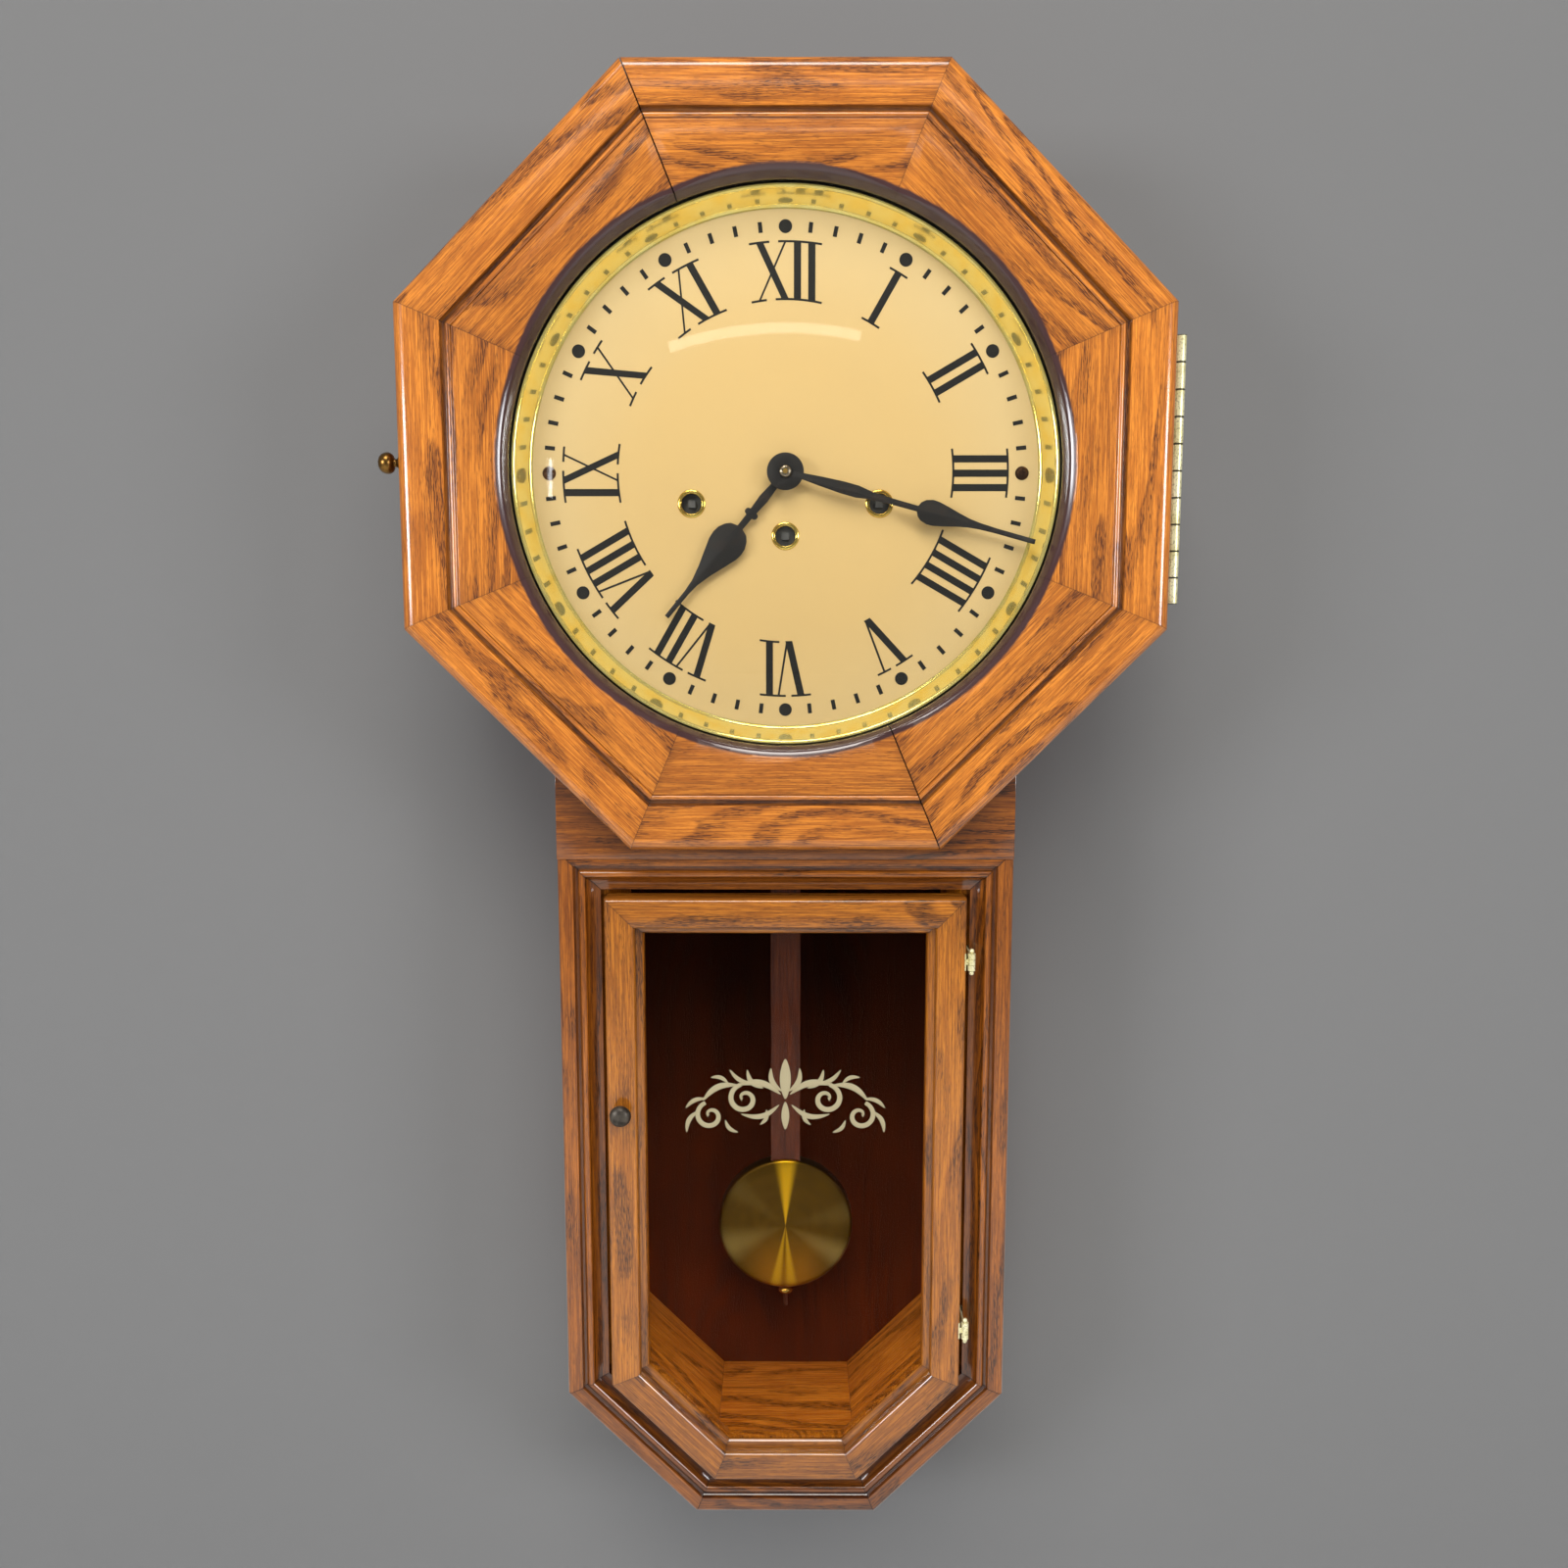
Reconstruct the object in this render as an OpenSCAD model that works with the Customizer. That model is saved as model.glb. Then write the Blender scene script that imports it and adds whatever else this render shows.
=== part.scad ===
// Wall regulator clock with an octagonal hood, a glazed trunk and a three-train chime movement.
// Front faces -Y, the wall is the plane y = 0, +Z is up, origin at the hanger hole.

/* [Hood] */
// Width of the hood case across flats
hood_w = 442; // [430:1:460]
// Depth of the hood case, wall to the back of its door
hood_d = 132; // [126:1:150]
// Thickness of the hood staves
stave_t = 16; // [12:1:19]
// Thickness of the back board
back_t = 6; // [4:0.5:8]
// Hanger hole up to the inside of the top stave
hanger_in = 20; // [18:1:26]

/* [Hood door] */
// Thickness of the octagonal door
door_t = 22; // [20:0.5:26]
// How far the door stands out past the case all round
door_overhang = 2.5; // [1:0.5:5]
// Radius of the door's rounded outer edge
door_edge_r = 7.5; // [4:0.5:9]
// Width of the flat outer band
door_band = 20; // [14:1:24]
// Width of the door's moulding, from its edge to the round opening
door_w = 62; // [58:0.5:63]
// Fall of the inner band towards the opening, depth over width
band_fall = 0.13; // [0.05:0.01:0.2]
// How far the opening turns in behind its arris
arris_in = 4; // [2:0.5:6.5]
// Height of the glass dome
dome_rise = 12; // [8:0.5:13]
// Thickness of the glass panes
glass_t = 2; // [1.5:0.5:3]
// Diameter of the hood knob's head
knob_d = 12.3; // [10:0.1:16]
// Height of the hood knob above the dial's centre
knob_up = 3.5; // [-20:0.5:20]
// Hinge barrel radius on the hood
barrel_r = 3.2; // [2.5:0.1:3.5]
// Distance of the hinge axis past the door's edge
hinge_out = 6.8; // [5:0.1:9]
// Number of hinge knuckles
knuckles = 10; // [6:2:14]
// Length of one hinge knuckle
knuckle_l = 15.5; // [10:0.5:16]

/* [Trunk] */
// Width of the trunk's front frame
trunk_w = 281; // [270:1:290]
// Height of the trunk below the top of its opening
trunk_l = 413.5; // [400:0.5:440]
// Thickness of the trunk's walls
wall_t = 19; // [16:1:22]
// How far the front frame stands out past the walls
frame_over = 11; // [6:1:14]
// Thickness of the front frame
frame_t = 19; // [17:1:22]
// Width of the frame moulding
frame_w = 26; // [24:0.5:30]
// Setback of the frame's front from the hood case front
frame_set = 2; // [1:0.5:4]
// Height of the head board below the hood case
head_h = 11.7; // [9:0.1:15]
// Joint under the head board down to the trunk opening
mouth_gap = 20.3; // [18:0.1:26]

/* [Trunk door] */
// Thickness of the trunk door
tdoor_t = 19; // [17:0.5:21]
// How far the trunk door stands in front of the frame
tdoor_proud = 7.5; // [5:0.5:9]
// Gap between the trunk door and the frame's sides
side_gap = 3.3; // [2:0.1:4]
// Gap above the trunk door
top_gap = 3; // [1.5:0.1:4]
// Gap below the trunk door
foot_gap = 1.5; // [1:0.1:3]
// Width of the trunk door's rails and stiles
rail_w = 18.5; // [16:0.5:22]
// Depth of the ledge behind the door's front face
ledge_d = 8; // [5:0.5:9]
// Width of the ledge
ledge_w = 4.7; // [3:0.1:6]
// Diameter of the trunk door's knob
tknob_d = 13.4; // [10:0.1:18]
// Top of the trunk opening down to the trunk door's knob
tknob_below = 138; // [90:1:200]
// Radius of the small hinge barrels
small_barrel_r = 2.3; // [1.8:0.1:2.6]
// Length of a small hinge
small_hinge_l = 11; // [10:0.5:20]
// Top of the trunk opening down to the upper small hinge
hinge_below = 42.5; // [32:0.5:70]
// Bottom of the trunk up to the lower small hinge
hinge_above = 130; // [116:0.5:160]

/* [Dial] */
// How far the dial pan reaches past the dial that shows
pan_rim = 5.3; // [4:0.1:7]
// Thickness of the dial sheet
dial_t = 1.2; // [0.8:0.1:2]
// Depth of the dial's face behind the hood case front
dial_set = 8.5; // [8:0.5:12]
// Gap between the door's opening and the reflector ring's edge
ring_gap = 1.5; // [1.1:0.1:3]
// Width of the reflector ring seen from the front
ring_band = 9.3; // [8:0.1:12]
// Minute track in from the edge of the dial that shows
track_in = 9.7; // [8:0.1:13]
// Space between the minute track's middle and the numerals
numeral_space = 7.8; // [7:0.1:12]
// Height of the numerals
numeral_h = 33.7; // [28:0.1:42]
// Thick stroke of the numerals
stroke_w = 4.2; // [3:0.1:5]
// Thin stroke of the numerals
hair_w = 1.2; // [0.8:0.1:1.6]
// Radius of the hour dots
dot_r = 3.9; // [3:0.1:4.4]
// Hour shown at rest
hour_turn = 220; // [0:1:359]
// Minute hand's turn at rest
minute_turn = 105.5; // [0:0.5:359]
// How far the minute hand reaches past the middle of its track
minute_past = 12.5; // [4:0.5:13]
// How far the hour hand reaches over the numerals
hour_past = 11.5; // [1:0.5:15]
// Radius of the hand's hub
hub_r = 10.9; // [8:0.1:12]

/* [Movement] */
// Half width of the movement plates
plate_half = 84; // [82:1:95]
// Top of the plates above the dial's centre
plate_up = 58; // [56:1:66]
// Thickness of the movement plates
plate_t = 2; // [1.5:0.1:3]
// Distance between the plates
plate_gap = 40; // [40:0.5:46]
// Dial face back to the front plate
motion_gap = 19; // [19:0.5:22]
// Side distance of the outer winding arbors
wind_x = 56.2; // [56:0.1:58]
// Drop of the outer winding arbors
wind_z = 17.8; // [16:0.1:20]
// Drop of the middle winding arbor
wind_mid = 36.8; // [36.8:0.1:37.4]
// Radius of the winding arbors
wind_r = 2.5; // [2:0.1:2.8]
// Radius of the mainspring barrels
drum_r = 17.5; // [14:0.5:18]
// Running clearance of arbors in their holes
run_gap = 0.05; // [0.03:0.01:0.08]
// Height of the suspension axis above the dial's centre
swing_up = 44.6; // [44.6:0.1:45.4]

/* [Pendulum] */
// Plane of the pendulum behind the movement
pend_gap = 11; // [9:0.5:14]
// Radius of the bob
bob_r = 46.5; // [40:0.5:52]
// Thickness of the bob
bob_t = 14; // [11:0.5:16]
// Dial centre down to the bob's centre
bob_drop = 505; // [480:1:515]
// Width of the wooden stick
stick_w = 20; // [14:0.5:24]
// Thickness of the wooden stick
stick_t = 6; // [4:0.5:7]
// Dial centre down to the top of the stick
stick_drop = 150; // [120:1:180]

/* [Seat and chime] */
// Seat board's top below the dial's centre
seat_drop = 80; // [78:1:84]
// Thickness of the seat board
seat_t = 12; // [10:1:15]
// Plane of the chime rods behind the movement
rod_gap = 32.5; // [31:0.5:36]
// Distance between chime rods
rod_pitch = 9; // [8:0.5:11]
// Length of the block that holds the chime rods
rod_block = 20; // [16:1:24]
// Radius of a chime rod
rod_r = 1.5; // [1:0.1:2]
// Radius of a hammer head
hammer_r = 4.5; // [3:0.1:4.8]
// Diameter of the hanger hole
hanger_d = 10; // [8:0.1:12]
// Width of the slot above the hanger hole
hanger_slot = 4.5; // [3:0.1:5]
// Thickness of the hanger plate
hanger_t = 1.5; // [1:0.1:2.5]

/* [Hidden] */
$fn = 48;

tiny = 0.1;
far = 400;
eighth = 22.5;
mitre_gap = 0.1;
// Planes from front to back
case_front = -hood_d;
door_gap = 0.5;
door_back = case_front - door_gap;
door_front = door_back - door_t;
frame_front = case_front + frame_set;
frame_back = frame_front + frame_t;
tdoor_front = frame_front - tdoor_proud;
tdoor_back = tdoor_front + tdoor_t;
dial_face = case_front + dial_set;
front_plate_y = dial_face + motion_gap;
inside_y = front_plate_y + plate_t;
back_plate_y = inside_y + plate_gap;
behind_y = back_plate_y + plate_t;
swing_y = behind_y + pend_gap;
// Hood
case_a = hood_w / 2;
inner_a = case_a - stave_t;
dial_drop = inner_a - hanger_in;
// Planes down from the dial's centre
head_drop = case_a + head_h;
mouth_drop = head_drop + mouth_gap;
trunk_drop = mouth_drop + trunk_l;
tknob_drop = mouth_drop + tknob_below;
upper_hinge_drop = mouth_drop + hinge_below;
lower_hinge_drop = trunk_drop - hinge_above;
door_a = case_a + door_overhang;
opening_r = door_a - door_w;
arris_r = opening_r + arris_in;
hinge_x = door_a + hinge_out;
hinge_y = (door_back + case_front) / 2;
hinge_half = knuckles * knuckle_l / 2;
leaf_t = 1;
pin_r = 1.2;
screw_r = 2.2;
hanger_half = 15;
hanger_foot = 27;
hanger_top = hanger_in - 1;
hanger_rise = hanger_in - 6;
hanger_screws = [for (x = [-11, 11], z = [5 - hanger_foot, hanger_rise - 1]) [x, z]];
// Trunk
leg_share = 1 - sqrt(2) / 2;
trunk_half = trunk_w / 2;
mouth_half = trunk_half - frame_w;
wall_half = trunk_half - frame_over;
tdoor_half = mouth_half - side_gap;
tdoor_top = -mouth_drop - top_gap;
tdoor_foot = -trunk_drop + frame_w + foot_gap;
tdoor_leg = tdoor_half - (trunk_half - trunk_w * leg_share - (trunk_half - tdoor_half) * tan(eighth));
small_hinge_x = mouth_half + 0.1;
small_hinge_y = tdoor_front + 2;
pane_y = tdoor_front + ledge_d + 2;
// Dial and glass
reflector_r = opening_r - ring_gap;
face_r = reflector_r - ring_band;
dial_r = face_r + pan_rim;
track_r = face_r - track_in;
numeral_out = track_r - numeral_space;
numeral_in = numeral_out - numeral_h;
minute_l = track_r + minute_past;
hour_l = numeral_in + hour_past;
arbor_spots = [[-wind_x, -wind_z], [0, -wind_mid], [wind_x, -wind_z]];
retainer_t = 4.7;
rebate_y = door_back - retainer_t - glass_t - 0.8;
dome_r = (pow(opening_r, 2) + pow(dome_rise, 2)) / (2 * dome_rise);
ring_front = rebate_y + glass_t + 0.9;
dial_screw_r = 1.5;
grommet_r = 8.4;
grommet_hole = 6;
minute_y = dial_face - 10.5;
hour_y = dial_face - 5.5;
hand_t = 0.8;
// Trains: modules and tooth counts
great_n = 56;
great_m = wind_mid / 32;
pinion_n = 8;
centre_n = 72;
centre_m = 0.7;
third_n = 64;
third_m = 0.6;
escape_pinion_n = 7;
escape_n = 30;
escape_r = 12;
side_great_n = 48;
side_m = 1.15;
side_wheel_n = 54;
fly_m = 0.8;
cannon_n = 12;
minute_n = 36;
minute_m = 0.75;
minute_pinion_n = 10;
hour_n = 40;
hour_m = 0.72;
ratchet_n = 24;
ratchet_r = 11;
pivot_r = 0.8;
arbor_r = 1.2;
pipe_r = 3.8;
tube_r = 2.5;
third_turn = 135;
third_at = polar((centre_n + pinion_n) * centre_m / 2, third_turn);
escape_reach = (third_n + escape_pinion_n) * third_m / 2;
escape_at = [0, third_at[1] + sqrt(pow(escape_reach, 2) - pow(third_at[0], 2))];
swing_at = [0, swing_up];
side_turn = 79;
fly_turn = 120;
side_at = arbor_spots[0] + polar((side_great_n + pinion_n) * side_m / 2, side_turn);
fly_at = side_at + polar((side_wheel_n + pinion_n) * fly_m / 2, fly_turn);
fly_r = 12;
motion_at = [0, (cannon_n + minute_n) * minute_m / 2];
click_spots = [arbor_spots[0] + [-13, -13], arbor_spots[1] + [-13, -13], arbor_spots[2] + [13, -13]];
pillar_x = plate_half - 7;
pillar_r = 4;
pillar_spots = [[-pillar_x, plate_up - 7], [pillar_x, plate_up - 7],
    [-pillar_x, -seat_drop + 9], [pillar_x, -seat_drop + 9]];
// Pendulum and chime
cock_z = swing_up + 5;
stick_end = bob_drop + bob_r - 5;
bob_slot = 0.3;
rod_y = behind_y + rod_gap;
rod_bottom = -seat_drop - seat_t - 31 - 3 * rod_pitch;
rod_side = 9 - 1.4 * inner_a - rod_bottom;
hammer_y = rod_y - 13;
head_half = rod_y - rod_r - 1.5 - hammer_y;
hammer_axle_z = -seat_drop + 8;
hammer_xs = [-32, -42.5, -53, -63.5];
first_rod_z = -seat_drop - seat_t - 23;
seat_front = front_plate_y - 6;
seat_back = behind_y + 3;

function polar(r, t) = r * [cos(t), sin(t)];
function mirrored(p) = [-p[0], p[1]];
function octagon(a) = [for (i = [0:7]) polar(a / cos(eighth), eighth + 45 * i)];
function trunk_outline(inset, top) =
    let (half = trunk_half - inset, foot = -trunk_drop + inset,
        leg = trunk_w * leg_share - inset * (1 - tan(eighth)))
    [[-half, top], [-half, foot + leg], [-half + leg, foot], [half - leg, foot], [half, foot + leg],
        [half, top]];
function tdoor_outline(inset) =
    let (half = tdoor_half - inset, foot = tdoor_foot + inset, leg = tdoor_leg - inset * (1 - tan(eighth)),
        top = tdoor_top - inset)
    [[-half, top], [-half, foot + leg], [-half + leg, foot], [half - leg, foot], [half, foot + leg],
        [half, top]];
// Outline of a toothed wheel: tip and flank given as shares of the pitch and module
function teeth(n, m, add, ded, w_tip, w_pitch, w_root, phase) = [for (i = [0:n - 1])
    let (c = phase + 360 * i / n, p = 360 / n, r = n * m / 2)
    each [polar(r - ded * m, c - w_root * p / 2), polar(r, c - w_pitch * p / 2),
        polar(r + add * m, c - w_tip * p / 2), polar(r + add * m, c + w_tip * p / 2),
        polar(r, c + w_pitch * p / 2), polar(r - ded * m, c + w_root * p / 2)]];
function wheel_teeth(n, m, phase) = teeth(n, m, 0.75, 0.95, 0.1, 0.4, 0.46, phase);
function pinion_teeth(n, m, phase) = teeth(n, m, 0.5, 1.1, 0.16, 0.32, 0.26, phase);
// Phase of a driven wheel that puts a gap where the driver has a tooth
function meshed(driver_n, driver_phase, n, turn) =
    turn + 180 + 180 / n - (driver_phase - turn) * driver_n / n;
function dome_y(r, back) = rebate_y - dome_rise + back + dome_r - sqrt(pow(dome_r, 2) - pow(r, 2));

module from_dial() { translate([0, 0, -dial_drop]) children(); }
// A flat outline in the X-Z plane, from its front face back
module plate(y, t) { translate([0, y + t, 0]) rotate([90, 0, 0]) linear_extrude(t) children(); }
// A round bar along Y
module bar(at, r, y, l) { translate([at[0], y, at[1]]) rotate([-90, 0, 0]) cylinder(r = r, h = l); }
// A profile of [radius, y] turned about an axis along Y
module turned(at, points) {
    translate([at[0], 0, at[1]]) rotate([-90, 0, 0]) rotate_extrude($fn = 96) polygon(points);
}
module block(x0, x1, y0, y1, z0, z1) { translate([x0, y0, z0]) cube([x1 - x0, y1 - y0, z1 - z0]); }
// A profile of [y, height] along an edge whose outward direction is turned by t
module edge_bar(points, l, t) {
    rotate([0, t, 0]) translate([-l / 2, 0, 0]) rotate([90, 0, 90]) linear_extrude(l) polygon(points);
}

// Case

module back_board() {
    color("saddlebrown") from_dial() difference() {
        plate(-back_t, back_t) union() {
            polygon(octagon(case_a));
            polygon(trunk_outline(frame_over, -case_a + 70));
        }
        translate([0, 0, dial_drop]) {
            // Mortise for the hanger plate, room for the screw's head, and holes for the plate's screws
            block(-hanger_half - run_gap, hanger_half + run_gap, -hanger_t, tiny,
                -hanger_foot - run_gap, hanger_top + run_gap);
            bar([0, 0], hanger_d / 2 + 3, -back_t - tiny, back_t + 2 * tiny);
            block(-hanger_d / 2 - 1, hanger_d / 2 + 1, -back_t - tiny, tiny, 0, hanger_top);
            for (p = hanger_screws) bar(p, pin_r + run_gap, -back_t - tiny, back_t + 2 * tiny);
        }
    }
}

module hood_staves() {
    slot_half = wall_half - wall_t - 30;
    color("peru") from_dial() for (i = [0:7]) {
        difference() {
            intersection() {
                rotate([0, 45 * i, 0])
                    block(-case_a, case_a, case_front, -back_t, inner_a, case_a);
                rotate([0, 45 * i, 0]) plate(case_front - tiny, hood_d) wedge();
            }
            if (i == 4) block(-slot_half, slot_half, frame_back, -back_t - 8, -far, -inner_a + tiny);
            if (i == 2) block(case_a - 16, far, case_front - tiny, case_front + leaf_t,
                -hinge_half - 0.5, hinge_half + 0.5);
        }
    }
}

// A 45 degree sector about the dial's centre, drawn in to leave the mitre joint
module wedge() {
    reach = far / cos(eighth);
    translate([0, mitre_gap / sin(eighth)]) polygon([[0, 0], polar(reach, 90 - eighth), polar(reach, 90 + eighth)]);
}

module trunk_panels() {
    inner = frame_over + wall_t;
    color("peru") from_dial() difference() {
        intersection() {
            plate(frame_back, -back_t - frame_back) difference() {
                polygon(trunk_outline(frame_over, -100));
                polygon(trunk_outline(inner, -90));
                polygon(octagon(case_a + tiny));
            }
        }
        // Joint lines between the five panels
        for (s = [-1, 1]) {
            joint_cut([s * wall_half, -trunk_drop + trunk_w * leg_share], s * -eighth);
            joint_cut([s * (trunk_half - trunk_w * leg_share), -trunk_drop], s * (-eighth - 45));
        }
    }
}

// A thin saw cut through a corner of the trunk's outline
module joint_cut(corner, t) {
    translate([corner[0], 0, corner[1]]) rotate([0, -t, 0])
        block(-60, 60, -far, tiny, -mitre_gap, mitre_gap);
}

// Profile of the trunk's frame moulding: [depth behind the front, distance in from the outer edge]
function frame_profile() = concat(
    [for (a = [0:18:90]) [3 - 3 * sin(a), 3 - 3 * cos(a)]],
    [[0, 9.8], [3, 10.2], [3.4, 11.5], [3, 12.8]],
    [for (a = [0:30:180]) [2.6 - 2.2 * sin(a), 15.1 - 2.3 * cos(a)]],
    [for (a = [0:15:90]) [1.6 + 5.4 * sin(a), 17.6 + (frame_w - 17.6) * (1 - cos(a))]],
    [[frame_t, frame_w], [frame_t, 0]]);

module frame_bar(centre, t, l) {
    translate([centre[0], 0, centre[1]])
        edge_bar([for (p = frame_profile()) [frame_front + p[0], -p[1]]], l, t);
}

module trunk_frame() {
    leg = trunk_w * leg_share;
    foot = -trunk_drop;
    top = -mouth_drop + frame_w;
    mid = (foot + leg + top) / 2;
    slant = leg * sqrt(2);
    reach = 30;
    color("chocolate") from_dial() intersection() {
        plate(frame_front - 1, frame_t + 2) polygon(trunk_outline(-1, -head_drop - mitre_gap));
        union() {
            intersection() {
                frame_bar([0, top], 0, trunk_w);
                plate(-far, far) polygon([[0, top - trunk_half], [trunk_half - mitre_gap, top], [-trunk_half + mitre_gap, top]]);
            }
            for (s = [-1, 1]) {
                intersection() {
                    frame_bar([s * trunk_half, mid], s * 90, top - foot);
                    plate(-far, far) frame_side(s, top, foot, leg);
                }
                intersection() {
                    frame_bar([s * (trunk_half - leg / 2), foot + leg / 2], s * 135, slant + reach);
                    plate(-far, far) frame_slant(s, foot, leg);
                }
            }
            intersection() {
                frame_bar([0, foot], 180, trunk_w);
                plate(-far, far) frame_foot(foot, leg);
            }
        }
    }
}

module frame_side(s, top, foot, leg) {
    in = frame_w + 2;
    polygon([[s * (trunk_half + 1), top + 1 - mitre_gap * 2], [s * (trunk_half - in), top - in - mitre_gap * 2],
        [s * (trunk_half - in), foot + leg + mitre_gap + in * tan(eighth)],
        [s * (trunk_half + 1), foot + leg + mitre_gap - tan(eighth)]]);
}

module frame_slant(s, foot, leg) {
    in = frame_w + 2;
    flat = trunk_half - leg;
    side_in = [s * (trunk_half - in), foot + leg - mitre_gap + in * tan(eighth)];
    foot_in = [s * (flat + mitre_gap - in * tan(eighth)), foot + in];
    polygon([[s * (trunk_half + 1), foot + leg - mitre_gap - tan(eighth)], side_in, foot_in,
        [s * (flat + mitre_gap + tan(eighth)), foot - 1], [s * (trunk_half + 1), foot - 1]]);
}

module frame_foot(foot, leg) {
    in = frame_w + 2;
    flat = trunk_half - leg - mitre_gap;
    polygon([[-flat - tan(eighth), foot - 1], [-flat + in * tan(eighth), foot + in],
        [flat - in * tan(eighth), foot + in], [flat + tan(eighth), foot - 1]]);
}

module head_board() {
    color("chocolate") from_dial() plate(frame_front, frame_t) difference() {
        translate([-trunk_half, -head_drop]) square([trunk_w, head_drop - 100]);
        polygon(octagon(case_a + tiny));
    }
}

module seat_board() {
    color("peru") from_dial() difference() {
        intersection() {
            block(-far, far, seat_front, seat_back, -seat_drop - seat_t, -seat_drop);
            plate(-far, far) polygon(octagon(inner_a - tiny));
        }
        for (s = [-1, 1]) translate([s * pillar_x, (inside_y + back_plate_y) / 2, -seat_drop - seat_t - 1])
            cylinder(r = 2.1, h = seat_t + 2);
    }
}

module dial_battens() {
    y = dial_face + 5;
    color("peru") from_dial() for (s = [-1, 1]) difference() {
        plate(y, seat_front - y - 0.5) intersection() {
            translate([s * track_r - 9, -far]) square([18, 2 * far]);
            polygon(octagon(inner_a - tiny));
        }
        bar([s * track_r, 0], dial_screw_r + run_gap, y - 1, 20);
    }
}

module hanger_plate() {
    t = hanger_t;
    color("goldenrod") difference() {
        block(-hanger_half, hanger_half, -t, 0, -hanger_foot, hanger_top);
        bar([0, 0], hanger_d / 2, -t - 1, t + 2);
        block(-hanger_slot / 2, hanger_slot / 2, -t - 1, 1, 0, hanger_rise);
        bar([0, hanger_rise], hanger_slot / 2, -t - 1, t + 2);
        for (p = hanger_screws) bar(p, screw_r + run_gap, -t - 1, t + 2);
    }
    // Sunk screws
    color("goldenrod") for (p = hanger_screws) {
        bar(p, screw_r, -t, t - tiny);
        bar(p, pin_r, 0.8 - back_t, back_t - 1);
    }
}

// Knuckles of one leaf, every second one, along Z
module knuckle_row(x, y, r, l, z0, count, first, hole) {
    for (i = [first:2:count - 1]) translate([x, y, z0 + i * l + tiny]) difference() {
        cylinder(r = r, h = l - 2 * tiny);
        translate([0, 0, -1]) cylinder(r = hole, h = l + 2);
    }
}

// Webs that join a leaf to its own knuckles, kept clear of the pin
module leaf_webs(x, y0, y1, reach, l, z0, count, first) {
    for (i = [first:2:count - 1]) block(x - reach, x - 2, y0, y1, z0 + i * l + tiny, z0 + (i + 1) * l - tiny);
}

module case_fittings() {
    leaf_l = hinge_half + 0.2;
    color("goldenrod") from_dial() {
        // Hood hinge leaf with its knuckles and pin
        union() {
            block(case_a - 15, hinge_x - barrel_r - 0.6, case_front, case_front + leaf_t - 0.1, -leaf_l, leaf_l);
            leaf_webs(hinge_x, case_front, case_front + leaf_t - 0.1, barrel_r + 1, knuckle_l, -hinge_half, knuckles, 0);
            knuckle_row(hinge_x, hinge_y, barrel_r, knuckle_l, -hinge_half, knuckles, 0, pin_r);
        }
        translate([hinge_x, hinge_y, -hinge_half]) cylinder(r = pin_r, h = 2 * hinge_half);
        // Magnetic catches
        for (z = [-6, 6]) block(-inner_a, -inner_a + 12, case_front + 1, case_front + 16, z - 5, z + 5);
        block(-wall_half + wall_t, -wall_half + wall_t + 9, tdoor_back + 1.5, tdoor_back + 16,
            -tknob_drop - 10, -tknob_drop + 10);
    }
    color("goldenrod") from_dial() for (z = [-upper_hinge_drop, -lower_hinge_drop])
        small_hinge_case(z);
}

module small_hinge_case(z) {
    third = small_hinge_l / 3;
    z0 = z - small_hinge_l / 2;
    knuckle_row(small_hinge_x, small_hinge_y, small_barrel_r, third, z0, 3, 0, 0.8);
    for (i = [0, 2]) block(small_hinge_x - 1.3, small_hinge_x - 0.3, small_hinge_y + 1.5, frame_back - 3,
        z0 + i * third + tiny, z0 + (i + 1) * third - tiny);
    translate([small_hinge_x, small_hinge_y, z0]) cylinder(r = 0.8, h = small_hinge_l);
    // Ball finials on the pin
    for (s = [-1, 1]) translate([small_hinge_x, small_hinge_y, z + s * (small_hinge_l / 2 + 1.4)])
        sphere(r = 1.5);
}

// Dial

module dial_pan() {
    color("wheat") from_dial() difference() {
        turned([0, 0], [[4.6, dial_face], [dial_r, dial_face], [dial_r, dial_face + 5],
            [dial_r - dial_t, dial_face + 5], [dial_r - dial_t, dial_face + dial_t], [4.6, dial_face + dial_t]]);
        for (p = arbor_spots) bar(p, grommet_r - 1 + run_gap, dial_face - 1, 4);
        for (s = [-1, 1]) bar([s * track_r, 0], dial_screw_r + run_gap, dial_face - 1, 4);
    }
}

module reflector_ring() {
    back = dial_face - 0.1;
    color("gold") from_dial() turned([0, 0], [[face_r, back], [face_r + 1.2, back], [reflector_r, ring_front + 1.2],
        [reflector_r + 0.9, ring_front + 1.2], [reflector_r + 0.9, ring_front], [reflector_r - 0.3, ring_front]]);
}

// Where a vertical line at x meets the circle of radius r
function on_circle(x, r) = [x, sqrt(r * r - x * x)];
// A stroke from x0 at the outer circle to x1 at the inner circle
module stroke(x0, x1, w) {
    polygon([on_circle(x0 - w / 2, numeral_out), on_circle(x0 + w / 2, numeral_out),
        on_circle(x1 + w / 2, numeral_in), on_circle(x1 - w / 2, numeral_in)]);
}
module serif(x0, x1, r) {
    a0 = asin(x0 / r);
    a1 = asin(x1 / r);
    outer = [for (k = [0:4]) let (a = a0 + (a1 - a0) * k / 4) r * [sin(a), cos(a)]];
    inner = [for (k = [4:-1:0]) let (a = a0 + (a1 - a0) * k / 4) (r - hair_w) * [sin(a), cos(a)]];
    polygon(concat(outer, inner));
}
module serifs(x, half) {
    serif(x - half, x + half, numeral_out);
}
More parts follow.
